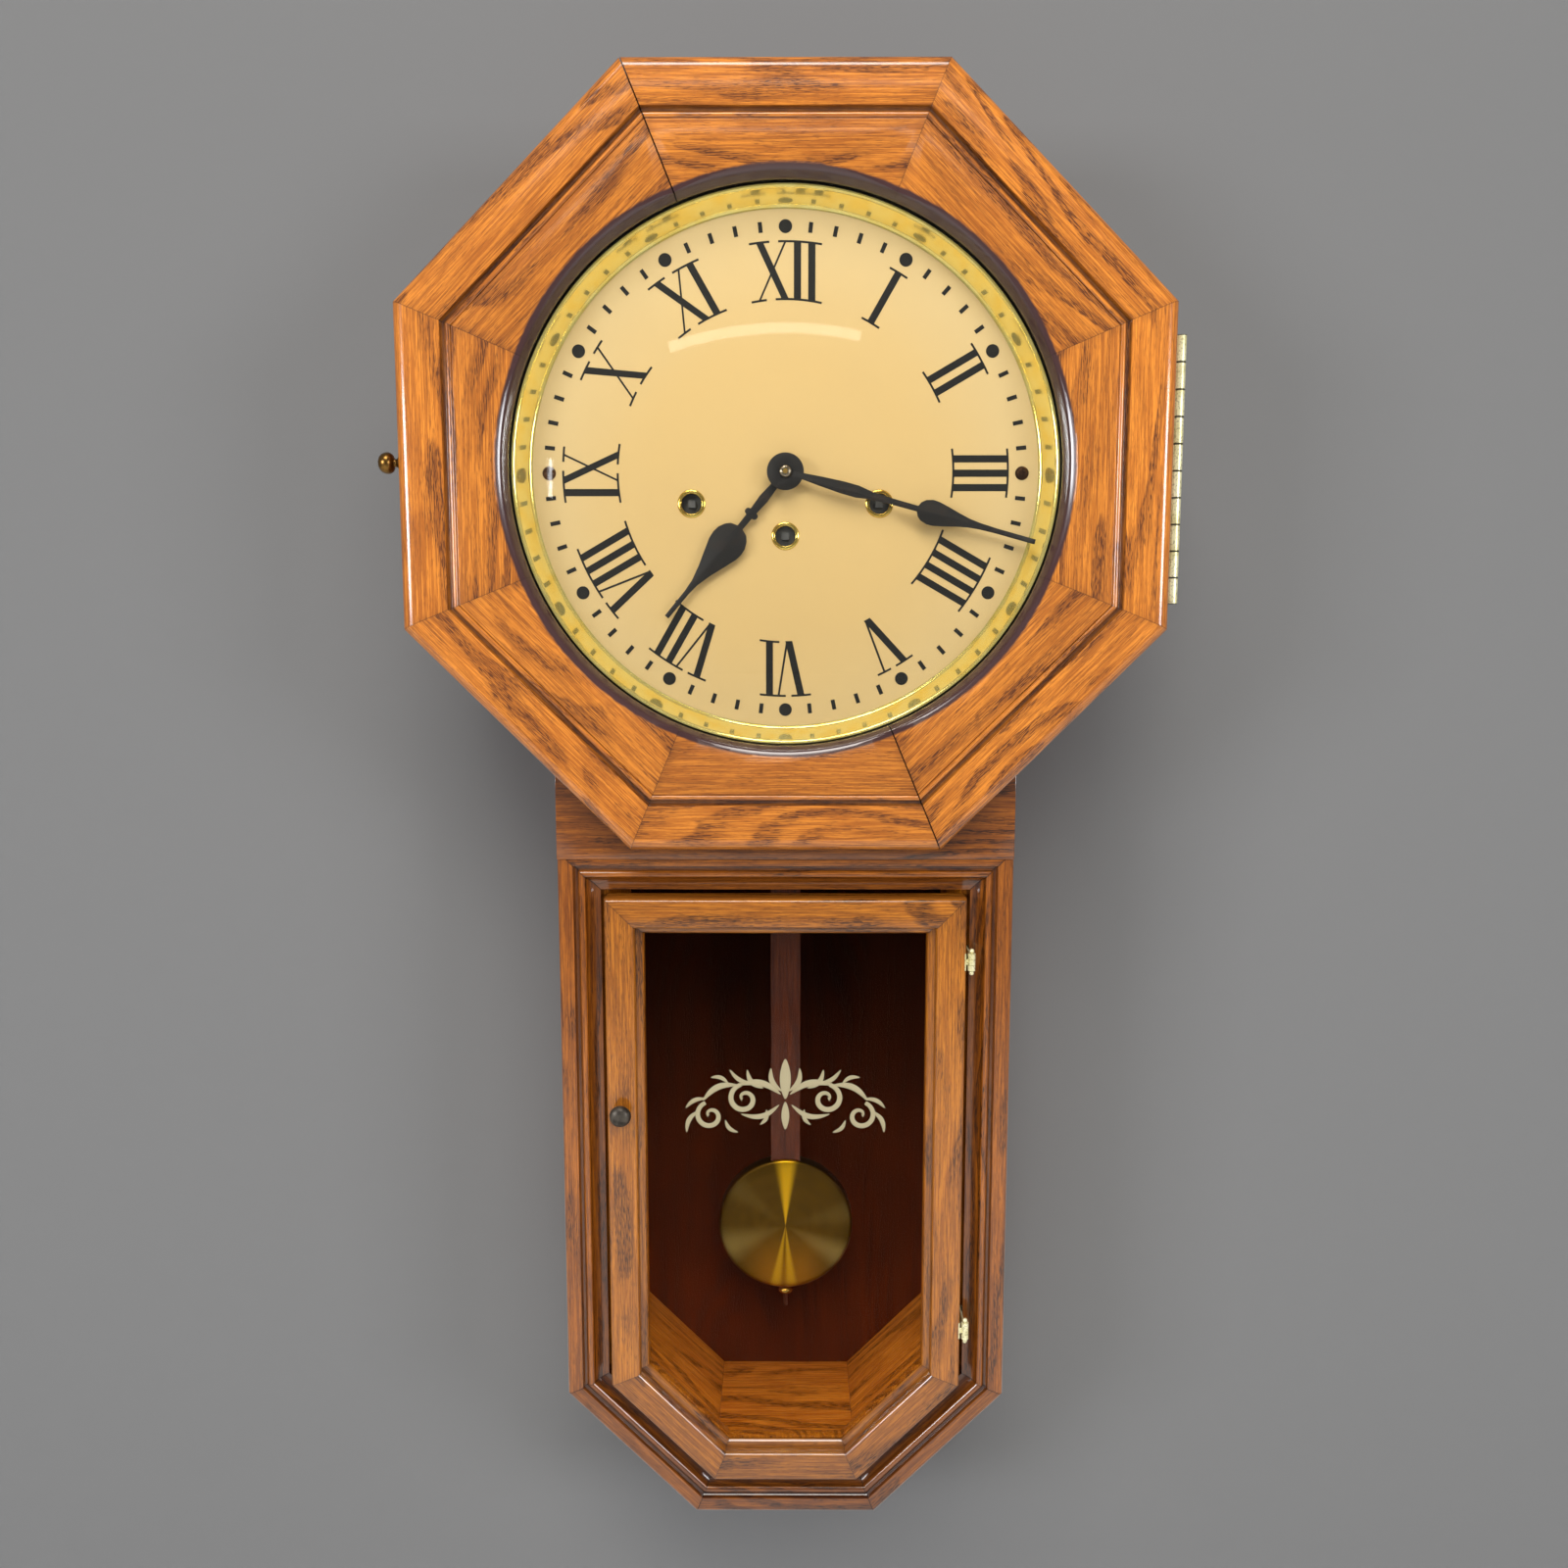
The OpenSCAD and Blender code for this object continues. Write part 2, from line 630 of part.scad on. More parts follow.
// Width, then the gap that follows, for each letter shape
function glyph_w(c) = c == "I" ? 0 : c == "V" ? 13.9 : 15.7;
function glyph_gap(a, b) = a == "I" && b == "I" ? 8.4 : a == "V" ? 5.4 : 6.8;
function numeral_w(s, i = 0) = i >= len(s) ? 0
    : glyph_w(s[i]) + (i + 1 < len(s) ? glyph_gap(s[i], s[i + 1]) : 0) + numeral_w(s, i + 1);
module glyph(c, x) {
    thick = 6;
    thin = 4.5;
    if (c == "I") {
        stroke(x, x, stroke_w);
        serif(x - thick, x + thick, numeral_out);
        serif(x - thick, x + thick, numeral_in + hair_w);
    }
    if (c == "V") {
        stroke(x, x + 7.6, stroke_w);
        stroke(x + 13.9, x + 8.6, hair_w);
        serif(x - thick, x + thick, numeral_out);
        serif(x + 13.9 - thin, x + 13.9 + thin, numeral_out);
    }
    if (c == "X") {
        stroke(x, x + 15.7, stroke_w);
        stroke(x + 15.7, x, hair_w);
        serif(x - thick, x + thick, numeral_out);
        serif(x + 15.7 - thin, x + 15.7 + thin, numeral_out);
        serif(x - thin, x + thin, numeral_in + hair_w);
        serif(x + 15.7 - thick, x + 15.7 + thick, numeral_in + hair_w);
    }
}
module numeral(s, i = 0, x = 0) {
    if (i < len(s)) {
        glyph(s[i], x);
        if (i + 1 < len(s)) numeral(s, i + 1, x + glyph_w(s[i]) + glyph_gap(s[i], s[i + 1]));
    }
}

module dial_marks() {
    numerals = ["XII", "I", "II", "III", "IIII", "V", "VI", "VII", "VIII", "IX", "X", "XI"];
    ink = 0.15;
    color("black") from_dial() plate(dial_face - ink, ink) {
        for (h = [0:11]) rotate(-30 * h) numeral(numerals[h], 0, -numeral_w(numerals[h]) / 2);
        for (k = [0:59]) if (k % 5 != 0) rotate(-6 * k) translate([-1.2, track_r - 3]) square([2.4, 6]);
    }
    color("black") from_dial() for (h = [0:11]) if (h % 6 != 3)
        bar(polar(track_r, 90 - 30 * h), dot_r, dial_face - ink, ink);
}

module dial_screws() {
    color("dimgray") from_dial() for (s = [-1, 1]) difference() {
        union() {
            turned([s * track_r, 0], [[0, dial_face - 2], [2.2, dial_face - 1.8], [3.6, dial_face - 1],
                [4.1, dial_face], [0, dial_face]]);
            bar([s * track_r, 0], dial_screw_r, dial_face, 11);
        }
        block(s * track_r - 1.8, s * track_r + 1.8, dial_face - 3, dial_face - 1.2, -0.35, 0.35);
        block(s * track_r - 0.35, s * track_r + 0.35, dial_face - 3, dial_face - 1.2, -1.8, 1.8);
    }
}

module winding_grommets() {
    y = dial_face;
    color("gold") from_dial() for (p = arbor_spots) turned(p, [[grommet_hole, y - 0.4],
        [grommet_hole + 0.9, y - 0.9], [grommet_r - 0.4, y - 0.5], [grommet_r, y], [grommet_r - 1, y],
        [grommet_r - 1, y + 2.5], [grommet_hole, y + 2.5]]);
}

// Movement

module pivot_holes(y, t) {
    spots = concat([third_at, escape_at, swing_at, side_at, fly_at, mirrored(side_at), mirrored(fly_at)]);
    for (p = spots) bar(p, pivot_r + run_gap, y - 1, t + 2);
    for (p = arbor_spots) bar(p, wind_r + run_gap, y - 1, t + 2);
    for (p = pillar_spots) bar(p, 1.5 + run_gap, y - 1, t + 2);
}

module movement_plate(y) {
    plate(y, plate_t) translate([-plate_half, -seat_drop]) square([2 * plate_half, plate_up + seat_drop]);
}

module front_plate() {
    color("khaki") from_dial() difference() {
        movement_plate(front_plate_y);
        pivot_holes(front_plate_y, plate_t);
        bar([0, 0], 1.4 + run_gap, front_plate_y - 1, plate_t + 2);
    }
    color("silver") from_dial() {
        bar(motion_at, 1.2, front_plate_y - 10, 10);
        for (p = click_spots) bar(p, 1.2, front_plate_y - 4, 4);
    }
}

module back_plate() {
    color("khaki") from_dial() difference() {
        movement_plate(back_plate_y);
        pivot_holes(back_plate_y, plate_t);
        bar([0, 0], pivot_r + run_gap, back_plate_y - 1, plate_t + 2);
    }
}

module plate_pillars() {
    color("silver") from_dial() {
        for (p = pillar_spots) {
            bar(p, pillar_r, inside_y, plate_gap);
            for (y = [front_plate_y - 2, behind_y]) turned(p, [[1.6, y], [3, y], [3, y + 2], [1.6, y + 2]]);
            bar(p, 1.5, front_plate_y - 2.5, plate_t + 2.5);
            bar(p, 1.5, back_plate_y, plate_t + 2.5);
        }
        // Seat bolts up into the lower pillars
        for (s = [-1, 1]) translate([s * pillar_x, (inside_y + back_plate_y) / 2, -seat_drop - seat_t - 3]) {
            cylinder(r = 4, h = 3);
            cylinder(r = 2, h = seat_t + 3 + 9 - pillar_r);
        }
    }
}

// The cock with the fixed half of the suspension spring; the moving half ends at the swing axis
module suspension_cock() {
    slit = 0.4;
    top = cock_z + 8;
    color("goldenrod") from_dial() difference() {
        block(-6, 6, behind_y, swing_y + 6.5, cock_z, top);
        block(-slit / 2, slit / 2, swing_y - 5, swing_y + 5, cock_z - 1, top + 1);
    }
    color("silver") from_dial() {
        block(-0.1, 0.1, swing_y - 4, swing_y + 4, swing_up + 0.3, top + 1);
        translate([-2.5, swing_y, top + 0.9]) rotate([0, 90, 0]) cylinder(r = 0.9, h = 5);
    }
}

module hammer_bracket() {
    x0 = hammer_xs[3] - 8;
    x1 = hammer_xs[0] + 8;
    z0 = -seat_drop + 1;
    color("silver") from_dial() {
        difference() {
            union() {
                block(x0, x1, behind_y, behind_y + 2, z0, z0 + 14);
                for (x = [x0, x1 - 2]) block(x, x + 2, behind_y + 2, hammer_y + 4, z0, z0 + 14);
            }
            translate([x0 - 1, hammer_y, hammer_axle_z]) rotate([0, 90, 0]) cylinder(r = 1.5, h = x1 - x0 + 2);
        }
        translate([x0, hammer_y, hammer_axle_z]) rotate([0, 90, 0]) cylinder(r = 1.5, h = x1 - x0);
    }
}

module chime_rods() {
    x0 = rod_side;
    x1 = rod_side + rod_block;
    z1 = first_rod_z + 10;
    z0 = rod_bottom;
    color("dimgray") from_dial() difference() {
        block(x0, x1, rod_y - 12, -back_t, z0, z1);
        for (k = [0:3]) translate([x1 - 12, rod_y, first_rod_z - k * rod_pitch]) rotate([0, 90, 0])
            cylinder(r = rod_r, h = 20);
    }
    color("lightgray") from_dial() for (k = [0:3])
        translate([x1 - 12, rod_y, first_rod_z - k * rod_pitch]) rotate([0, 90, 0])
            cylinder(r = rod_r, h = 215 - 14 * k);
}

// Hood door

// Profile of the octagonal moulding: [depth behind the front, distance in from the outer edge]
function door_profile() =
    let (g = door_edge_r + door_band, inner_u = door_a - opening_r * cos(eighth) + 1)
    concat([for (a = [0:15:90]) door_edge_r * [1 - sin(a), 1 - cos(a)]],
        [[0, g], [2.8, g + 0.4], [3.2, g + 1.6], [2.8, g + 2.8]],
        [for (a = [0:30:180]) [1.9 - 1.6 * sin(a), g + 4.6 - 1.7 * cos(a)]],
        [[0.8, g + 6.5], [0.8 + band_fall * (inner_u - g - 6.5), inner_u], [door_t, inner_u], [door_t, 0]]);

module opening_cutter() {
    f = door_front;
    run = arris_r - opening_r;
    turned([0, 0], [[0, f - 1], [arris_r + 1.4, f - 1], [arris_r, f + 3.6], [arris_r - 0.15 * run, f + 5.5],
        [arris_r - 0.52 * run, f + 8.2], [arris_r - 0.9 * run, f + 11.2], [opening_r, f + 12.6],
        [opening_r, rebate_y], [opening_r + 5.5, rebate_y], [opening_r + 5.5, door_back + 1], [0, door_back + 1]]);
}

module hood_moulding() {
    color("chocolate") from_dial() for (i = [0:7]) difference() {
        intersection() {
            rotate([0, 45 * i, 0]) edge_bar([for (p = door_profile()) [door_front + p[0], door_a - p[1]]],
                2 * door_a * tan(eighth) + 4, 0);
            rotate([0, 45 * i, 0]) plate(door_front - 1, door_t + 2) wedge();
        }
        opening_cutter();
        if (i == 2) block(case_a - 16, far, door_back - leaf_t, door_back + 1, -hinge_half - 0.5, hinge_half + 0.5);
    }
}

module dial_glass() {
    r = opening_r + 5;
    steps = 12;
    color("aliceblue", 0.3) from_dial() turned([0, 0], concat(
        [for (k = [0:steps]) [r * k / steps, dome_y(r * k / steps, 0)]],
        [for (k = [steps:-1:0]) [r * k / steps, dome_y(r * k / steps, glass_t)]]));
}

module glass_retainer() {
    color("black") from_dial() turned([0, 0], [[opening_r + 0.2, door_back - retainer_t + 0.1],
        [opening_r + 5.2, door_back - retainer_t + 0.1], [opening_r + 5.2, door_back], [opening_r + 0.2, door_back]]);
}

module hood_knob() {
    r = knob_d / 2;
    color("gold") from_dial() translate([-door_a, door_front + 11, knob_up]) rotate([0, -90, 0])
        rotate_extrude() polygon([[0, 0], [4, 0], [4, 0.8], [2.4, 1.8], [2.3, 3.6], [4.6, 4.4], [r, 6.4],
            [r, 8.6], [0.86 * r, 10.6], [0.55 * r, 12.2], [0, 12.8]]);
}

module hood_door_fittings() {
    leaf_l = hinge_half + 0.2;
    color("goldenrod") from_dial() {
        union() {
            block(case_a - 15, hinge_x - barrel_r - 0.6, door_back - leaf_t + 0.1, door_back, -leaf_l, leaf_l);
            leaf_webs(hinge_x, door_back - leaf_t + 0.1, door_back, barrel_r + 1, knuckle_l, -hinge_half, knuckles, 1);
            knuckle_row(hinge_x, hinge_y, barrel_r, knuckle_l, -hinge_half, knuckles, 1, pin_r + run_gap);
        }
        // Strike plate for the catch
        block(-inner_a + 1, -inner_a + 13, door_back, door_back + 0.8, -12, 12);
    }
}

// Trunk door

module door_frame() {
    soft = 2.4;
    color("chocolate") from_dial() difference() {
        union() {
            plate(tdoor_front + soft, tdoor_t - soft) door_ring(0, rail_w);
            plate(tdoor_front, soft + tiny) door_ring(soft, rail_w);
            plate(tdoor_front + ledge_d, tdoor_t - ledge_d) door_ring(rail_w - 1, rail_w + ledge_w);
        }
        plate(pane_y, far) polygon(tdoor_outline(rail_w));
        // Rebates for the hinge leaves
        for (z = [-upper_hinge_drop, -lower_hinge_drop])
            block(tdoor_half - 1.1, far, tdoor_front - 1, tdoor_front + 13, z - small_hinge_l / 2, z + small_hinge_l / 2);
    }
}

module door_ring(out, in) {
    difference() {
        polygon(tdoor_outline(out));
        polygon(tdoor_outline(in));
    }
}

module door_glass() {
    color("aliceblue", 0.3) from_dial() plate(pane_y + 0.1, glass_t) polygon(tdoor_outline(rail_w + 0.4));
}

module glass_beads() {
    y = pane_y + glass_t + 0.2;
    color("saddlebrown") from_dial() plate(y, tdoor_back - y) door_ring(rail_w + 0.2, rail_w + 4.5);
}

module door_knob() {
    r = tknob_d / 2;
    x = -tdoor_half + rail_w / 2;
    f = tdoor_front;
    color("dimgray") from_dial() turned([x, -tknob_drop], [[0, f], [3.6, f], [3.4, f - 1.5], [2.4, f - 3.5],
        [2.6, f - 4.6], [0.78 * r, f - 5.2], [r, f - 7], [0.96 * r, f - 8.4], [0.75 * r, f - 10], [0.4 * r, f - 11], [0, f - 11.3]]);
}

module trunk_door_fittings() {
    third = small_hinge_l / 3;
    color("goldenrod") from_dial() {
        for (z = [-upper_hinge_drop, -lower_hinge_drop]) {
            z0 = z - small_hinge_l / 2;
            union() {
                knuckle_row(small_hinge_x, small_hinge_y, small_barrel_r, third, z0, 3, 1, 0.8 + run_gap);
                block(tdoor_half - 1, small_hinge_x - 1.4, small_hinge_y - 0.5, small_hinge_y + 0.5,
                    z0 + third + tiny, z0 + 2 * third - tiny);
                block(tdoor_half - 1, tdoor_half, tdoor_front + 1, tdoor_front + 12.5, z0 + tiny, z0 + small_hinge_l - tiny);
            }
        }
        block(-tdoor_half + 1, -tdoor_half + 13, tdoor_back, tdoor_back + 0.8, -tknob_drop - 12, -tknob_drop + 12);
    }
}

// Hands and motion work

// Half widths along a hand, mirrored into an outline that points up
function blade(points) = concat(points, [for (i = [len(points) - 1:-1:0]) [-points[i][0], points[i][1]]]);

module minute_hand() {
    y = minute_y;
    s = minute_l / 153.5;
    outline = [[1.7, 9], [2.8, 22], [3.6, 35], [3.6, 44], [2.4, 52], [1.8, 64], [1.7, 81], [4.2, 82.2], [6.2, 84.6],
        [7.4, 88.6], [7.2, 92.5], [5.8, 99], [4, 106], [2.6, 112.5], [1.9, 119], [1.5, 130], [1.5, 153.5]];
    color("black") from_dial() rotate([0, minute_turn, 0]) plate(y, hand_t) difference() {
        union() {
            circle(r = hub_r);
            polygon(blade([for (p = outline) [p[0], p[1] * s]]));
        }
        circle(r = tube_r + 0.02);
    }
    color("dimgray") from_dial() turned([0, 0], [[1.45, y - 2], [2.6, y - 2], [3.9, y - 0.9], [3.9, y], [1.45, y]]);
}

module hour_hand() {
    s = hour_l / 111;
    outline = [[2.2, 5], [2.3, 12], [2.9, 20], [2.3, 29.4], [3.6, 29.8], [4.3, 30.7], [4.3, 32.3], [3.6, 33.2],
        [2.1, 33.6], [1.9, 42], [6, 43.4], [8.4, 46], [10.3, 50], [10.8, 54], [10.2, 58.5], [7.9, 65.5], [4.5, 75.5],
        [2.2, 84.5], [1.5, 92], [1.4, 111]];
    color("black") from_dial() rotate([0, hour_turn, 0]) plate(hour_y, hand_t) difference() {
        union() {
            circle(r = 7);
            polygon(blade([for (p = outline) [p[0], p[1] * s]]));
        }
        circle(r = pipe_r + 0.02);
    }
}

// A flat toothed wheel; its bore is a true polygon round a bar of radius r
module gear(at, points, y, t, r) {
    translate([at[0], 0, at[1]]) plate(y, t) difference() {
        polygon(points);
        circle(r = (r + 0.02) / cos(15), $fn = 12);
    }
}

// Plain arbor with a pivot in each plate
module pivoted(at, r, y0, y1) {
    bar(at, r, y0, y1 - y0);
    bar(at, pivot_r, front_plate_y, y0 - front_plate_y);
    bar(at, pivot_r, y1, behind_y - y1);
}

cannon_phase = 0;
centre_pinion_phase = meshed(great_n, 0, pinion_n, 90);
great_layer = inside_y + 11;

module centre_arbor() {
    color("goldenrod") from_dial() {
        gear([0, 0], wheel_teeth(centre_n, centre_m, 0), inside_y + 3, 1.5, 2);
        gear([0, 0], pinion_teeth(pinion_n, great_m, centre_pinion_phase), great_layer - 2, 6, 2);
        gear([0, 0], pinion_teeth(cannon_n, minute_m, cannon_phase), front_plate_y - 4.2, 2.8, tube_r);
    }
    color("silver") from_dial() {
        bar([0, 0], 1.4, minute_y - 2.4, inside_y + 0.3 - minute_y + 2.4);
        bar([0, 0], 2, inside_y + 0.3, plate_gap - 1.5);
        bar([0, 0], pivot_r, back_plate_y - 1.2, 3.2);
        turned([0, 0], [[1.42, minute_y], [tube_r, minute_y], [tube_r, front_plate_y - 1], [1.42, front_plate_y - 1]]);
    }
}

minute_phase = meshed(cannon_n, cannon_phase, minute_n, 90);
minute_pinion_phase = 90;

module minute_wheel() {
    y = front_plate_y;
    color("goldenrod") from_dial() {
        gear(motion_at, wheel_teeth(minute_n, minute_m, minute_phase), y - 3.6, 1.6, 2);
        gear(motion_at, pinion_teeth(minute_pinion_n, hour_m, minute_pinion_phase), y - 8.5, 4.7, 2);
        turned(motion_at, [[1.2 + run_gap, y - 8.5], [2, y - 8.5], [2, y - 2], [1.2 + run_gap, y - 2]]);
    }
}

module hour_wheel() {
    y = front_plate_y;
    color("goldenrod") from_dial() {
        gear([0, 0], wheel_teeth(hour_n, hour_m, meshed(minute_pinion_n, minute_pinion_phase, hour_n, 270)), y - 8, 2, pipe_r);
        turned([0, 0], [[tube_r + 0.08, hour_y], [pipe_r, hour_y], [pipe_r, y - 6], [tube_r + 0.08, y - 6]]);
    }
}

// Going train

third_pinion_phase = meshed(centre_n, 0, pinion_n, third_turn);
escape_turn = atan2(escape_at[1] - third_at[1], escape_at[0] - third_at[0]);

module third_wheel() {
    color("goldenrod") from_dial() {
        gear(third_at, pinion_teeth(pinion_n, centre_m, third_pinion_phase), inside_y + 1.5, 4.5, arbor_r);
        gear(third_at, wheel_teeth(third_n, third_m, escape_turn), inside_y + 22, 1.5, arbor_r);
    }
    color("silver") from_dial() pivoted(third_at, arbor_r, inside_y + 0.3, back_plate_y - 0.3);
}

module escape_wheel() {
    step = 360 / escape_n;
    // Pointed teeth that lean against the anchor
    points = [for (i = [0:escape_n - 1]) each [polar(escape_r - 2.4, i * step), polar(escape_r, i * step + 0.30 * step),
        polar(escape_r, i * step + 0.36 * step), polar(escape_r - 2.4, i * step + 0.5 * step)]];
    color("goldenrod") from_dial() {
        gear(escape_at, pinion_teeth(escape_pinion_n, third_m, meshed(third_n, escape_turn, escape_pinion_n, escape_turn)),
            inside_y + 20, 5, 1);
        gear(escape_at, points, inside_y + 28, 1.5, 1);
    }
    color("silver") from_dial() pivoted(escape_at, 1, inside_y + 0.3, back_plate_y - 0.3);
}

module anchor() {
    half = [[2, -2.6], [5.6, -4.2], [9.1, -7.75], [10.2, -9.45], [12.5, -7.6], [7, -0.6], [2.6, 2.6]];
    outline = concat(half, [for (i = [len(half) - 1:-1:0]) [-half[i][0], half[i][1]]]);
    crutch_y = behind_y + 4;
    reach = swing_up + 30;
    color("dimgray") from_dial() {
        gear(swing_at, outline, inside_y + 27.5, 2.5, arbor_r);
        pivoted(swing_at, arbor_r, inside_y + 0.3, back_plate_y - 0.3);
        bar(swing_at, pivot_r, behind_y, 5);
        // Crutch and its fork round the pendulum leader
        difference() {
            union() {
                bar(swing_at, 2.4, crutch_y - 1, 2);
                translate([0, crutch_y, swing_up - reach]) cylinder(r = 0.9, h = reach - 2.2);
                block(-2.9, 2.9, crutch_y - 1, crutch_y + 1, swing_up - reach - 1, swing_up - reach + 1);
                for (s = [-1, 1]) bar([s * 2.3, swing_up - reach], 0.6, crutch_y, swing_y + 3 - crutch_y);
            }
            bar(swing_at, pivot_r, crutch_y - 2, 4);
        }
    }
}

// Spring barrels and winding

module barrel(at, layer, points, back) {
    front = layer + 2;
    color("goldenrod") from_dial() {
        gear(at, points, layer, 2, wind_r + run_gap);
        difference() {
            bar(at, drum_r, front, back - front);
            bar(at, drum_r - 1.2, front + 1.5, back - front);
            bar(at, wind_r + run_gap, front - 1, 4);
        }
        difference() {
            bar(at, drum_r - 1.25, back - 1.2, 1.2);
            bar(at, wind_r + run_gap, back - 3, 6);
        }
    }
    // Wound mainspring
    color("steelblue") from_dial() difference() {
        bar(at, drum_r - 1.5, front + 2, back - 2 - front - 2);
        bar(at, 7, front, back - front);
    }
}

barrel_back = back_plate_y - 4;
side_layer = great_layer + 4;

module time_barrel() {
    barrel(arbor_spots[1], great_layer, wheel_teeth(great_n, great_m, 0), barrel_back);
}

module strike_barrel() {
    barrel(arbor_spots[0], side_layer, wheel_teeth(side_great_n, side_m, side_turn), barrel_back);
}

module chime_barrel() {
    barrel(arbor_spots[2], side_layer, wheel_teeth(side_great_n, side_m, 180 - side_turn), barrel_back);
}

// Second wheel of a side train, with the pins that lift the hammers
module side_wheel(at, turn, next) {
    n = side_wheel_n;
    y = inside_y + 6;
    color("goldenrod") from_dial() {
        gear(at, pinion_teeth(pinion_n, side_m, meshed(side_great_n, turn, pinion_n, turn)), side_layer - 1.5, 5, arbor_r);
        gear(at, wheel_teeth(n, fly_m, next), y, 1.5, arbor_r);
        for (k = [0:7]) bar(at + polar(15, 45 * k), 0.7, y + 1.5, 4);
    }
    color("silver") from_dial() pivoted(at, arbor_r, inside_y + 0.3, back_plate_y - 0.3);
}

module strike_wheel() { side_wheel(side_at, side_turn, fly_turn); }

module chime_wheel() { side_wheel(mirrored(side_at), 180 - side_turn, 180 - fly_turn); }

module fly(at, turn) {
    color("goldenrod") from_dial() {
        gear(at, pinion_teeth(pinion_n, fly_m, meshed(side_wheel_n, turn, pinion_n, turn)), inside_y + 4.5, 4.5, 1);
        difference() {
            union() {
                translate([at[0], 0, at[1]]) rotate([0, 30, 0]) block(-fly_r, fly_r, inside_y + 12, inside_y + 34, -0.3, 0.3);
                bar(at, 2, inside_y + 12, 22);
            }
            bar(at, 1, inside_y, plate_gap);
        }
    }
    color("silver") from_dial() pivoted(at, 1, inside_y + 0.3, back_plate_y - 0.3);
}

module strike_fly() { fly(fly_at, fly_turn); }

module chime_fly() { fly(mirrored(fly_at), 180 - fly_turn); }

module winding(at) {
    step = 360 / ratchet_n;
    square_w = 1.7 * wind_r;
    points = [for (i = [0:ratchet_n - 1]) each [polar(ratchet_r - 1.6, i * step), polar(ratchet_r, i * step + 0.08 * step),
        polar(ratchet_r - 1.4, i * step + 0.92 * step)]];
    y = dial_face + 2.5;
    color("dimgray") from_dial() {
        translate([at[0], y + 5, at[1]]) translate([-square_w / 2, -5, -square_w / 2]) cube([square_w, 9, square_w]);
        bar(at, wind_r, y + 9, behind_y - y - 9);
    }
    color("goldenrod") from_dial() gear(at, points, front_plate_y - 3.4, 2, wind_r);
}

module time_winding() { winding(arbor_spots[1]); }

module strike_winding() { winding(arbor_spots[0]); }

module chime_winding() { winding(arbor_spots[2]); }

// Click that rides just clear of the ratchet's tips; s = 1 leans right, -1 leans left
module click(at, s) {
    nose = 18.38 - ratchet_r - 0.3;
    color("silver") from_dial() translate([at[0], 0, at[1]]) mirror([s < 0 ? 1 : 0, 0, 0])
        plate(front_plate_y - 3.4, 2) difference() {
            union() {
                circle(r = 3);
                polygon([[-1.9, 2.2], [2.2, -1.9], polar(nose, 45)]);
            }
            circle(r = 1.2 + run_gap);
        }
}

module time_click() { click(click_spots[1], 1); }

module strike_click() { click(click_spots[0], 1); }

module chime_click() { click(click_spots[2], -1); }

// Pendulum

module pendulum_leader() {
    y = swing_y;
    color("silver") from_dial() {
        block(-0.1, 0.1, y - 4, y + 4, swing_up - 6.5, swing_up - 0.3);
    }
    color("goldenrod") from_dial() {
        block(-3, 3, y - 4.5, y + 4.5, swing_up - 11, swing_up - 5.5);
        translate([0, y, -stick_drop]) cylinder(r = 1.5, h = stick_drop + swing_up - 10);
    }
}

module pendulum_stick() {
    y = swing_y - stick_t / 2;
    color("saddlebrown") from_dial() block(-stick_w / 2, stick_w / 2, y, y + stick_t, -stick_end, -stick_drop);
    color("goldenrod") from_dial() translate([0, swing_y, -bob_drop - bob_r - 15.5]) cylinder(r = 1.5, h = 15.5 + bob_r + bob_drop - stick_end);
}

module pendulum_bob() {
    f = swing_y - bob_t / 2;
    b = swing_y + bob_t / 2;
    color("gold") from_dial() difference() {
        turned([0, -bob_drop], [[0, f], [0.35 * bob_r, f + 0.2], [0.7 * bob_r, f + 0.9], [bob_r - 5, f + 2], [bob_r - 1.5, f + 3.4],
            [bob_r, f + 5.2], [bob_r, b - 2], [bob_r - 1, b - 1], [0, b]]);
        block(-stick_w / 2 - bob_slot, stick_w / 2 + bob_slot, swing_y - stick_t / 2 - 0.2, swing_y + stick_t / 2 + 0.2,
            -stick_end - 0.2, -bob_drop + bob_r + 2);
        translate([0, swing_y, -bob_drop - bob_r - 2]) cylinder(r = 1.6, h = 12);
    }
}

module rating_nut() {
    z = -bob_drop - bob_r - 0.5;
    color("gold") from_dial() translate([0, swing_y, z]) difference() {
        rotate_extrude() polygon([[0, 0], [2.5, 0], [4.8, -1.2], [5.5, -2.4], [5.5, -3.6], [4.6, -4.8], [2.4, -5.6], [0, -5.6]]);
        translate([0, 0, -7]) cylinder(r = 1.5 + run_gap, h = 8);
    }
}

// Hammers

module hammer(k) {
    x = hammer_xs[k];
    z = first_rod_z - k * rod_pitch;
    color("silver") from_dial() translate([x, 0, 0]) {
        difference() {
            union() {
                translate([-1.5, hammer_y, hammer_axle_z]) rotate([0, 90, 0]) cylinder(r = 3, h = 3);
                block(-1, 1, hammer_y - 1, hammer_y + 1, z, hammer_axle_z - 2);
            }
            translate([-3, hammer_y, hammer_axle_z]) rotate([0, 90, 0]) cylinder(r = 1.5 + run_gap, h = 6);
            bar([0, z], hammer_r, hammer_y - head_half, 2 * head_half);
        }
        bar([0, z], hammer_r, hammer_y - head_half, 2 * head_half);
    }
}

module hammer_1() { hammer(0); }

module hammer_2() { hammer(1); }

module hammer_3() { hammer(2); }

module hammer_4() { hammer(3); }

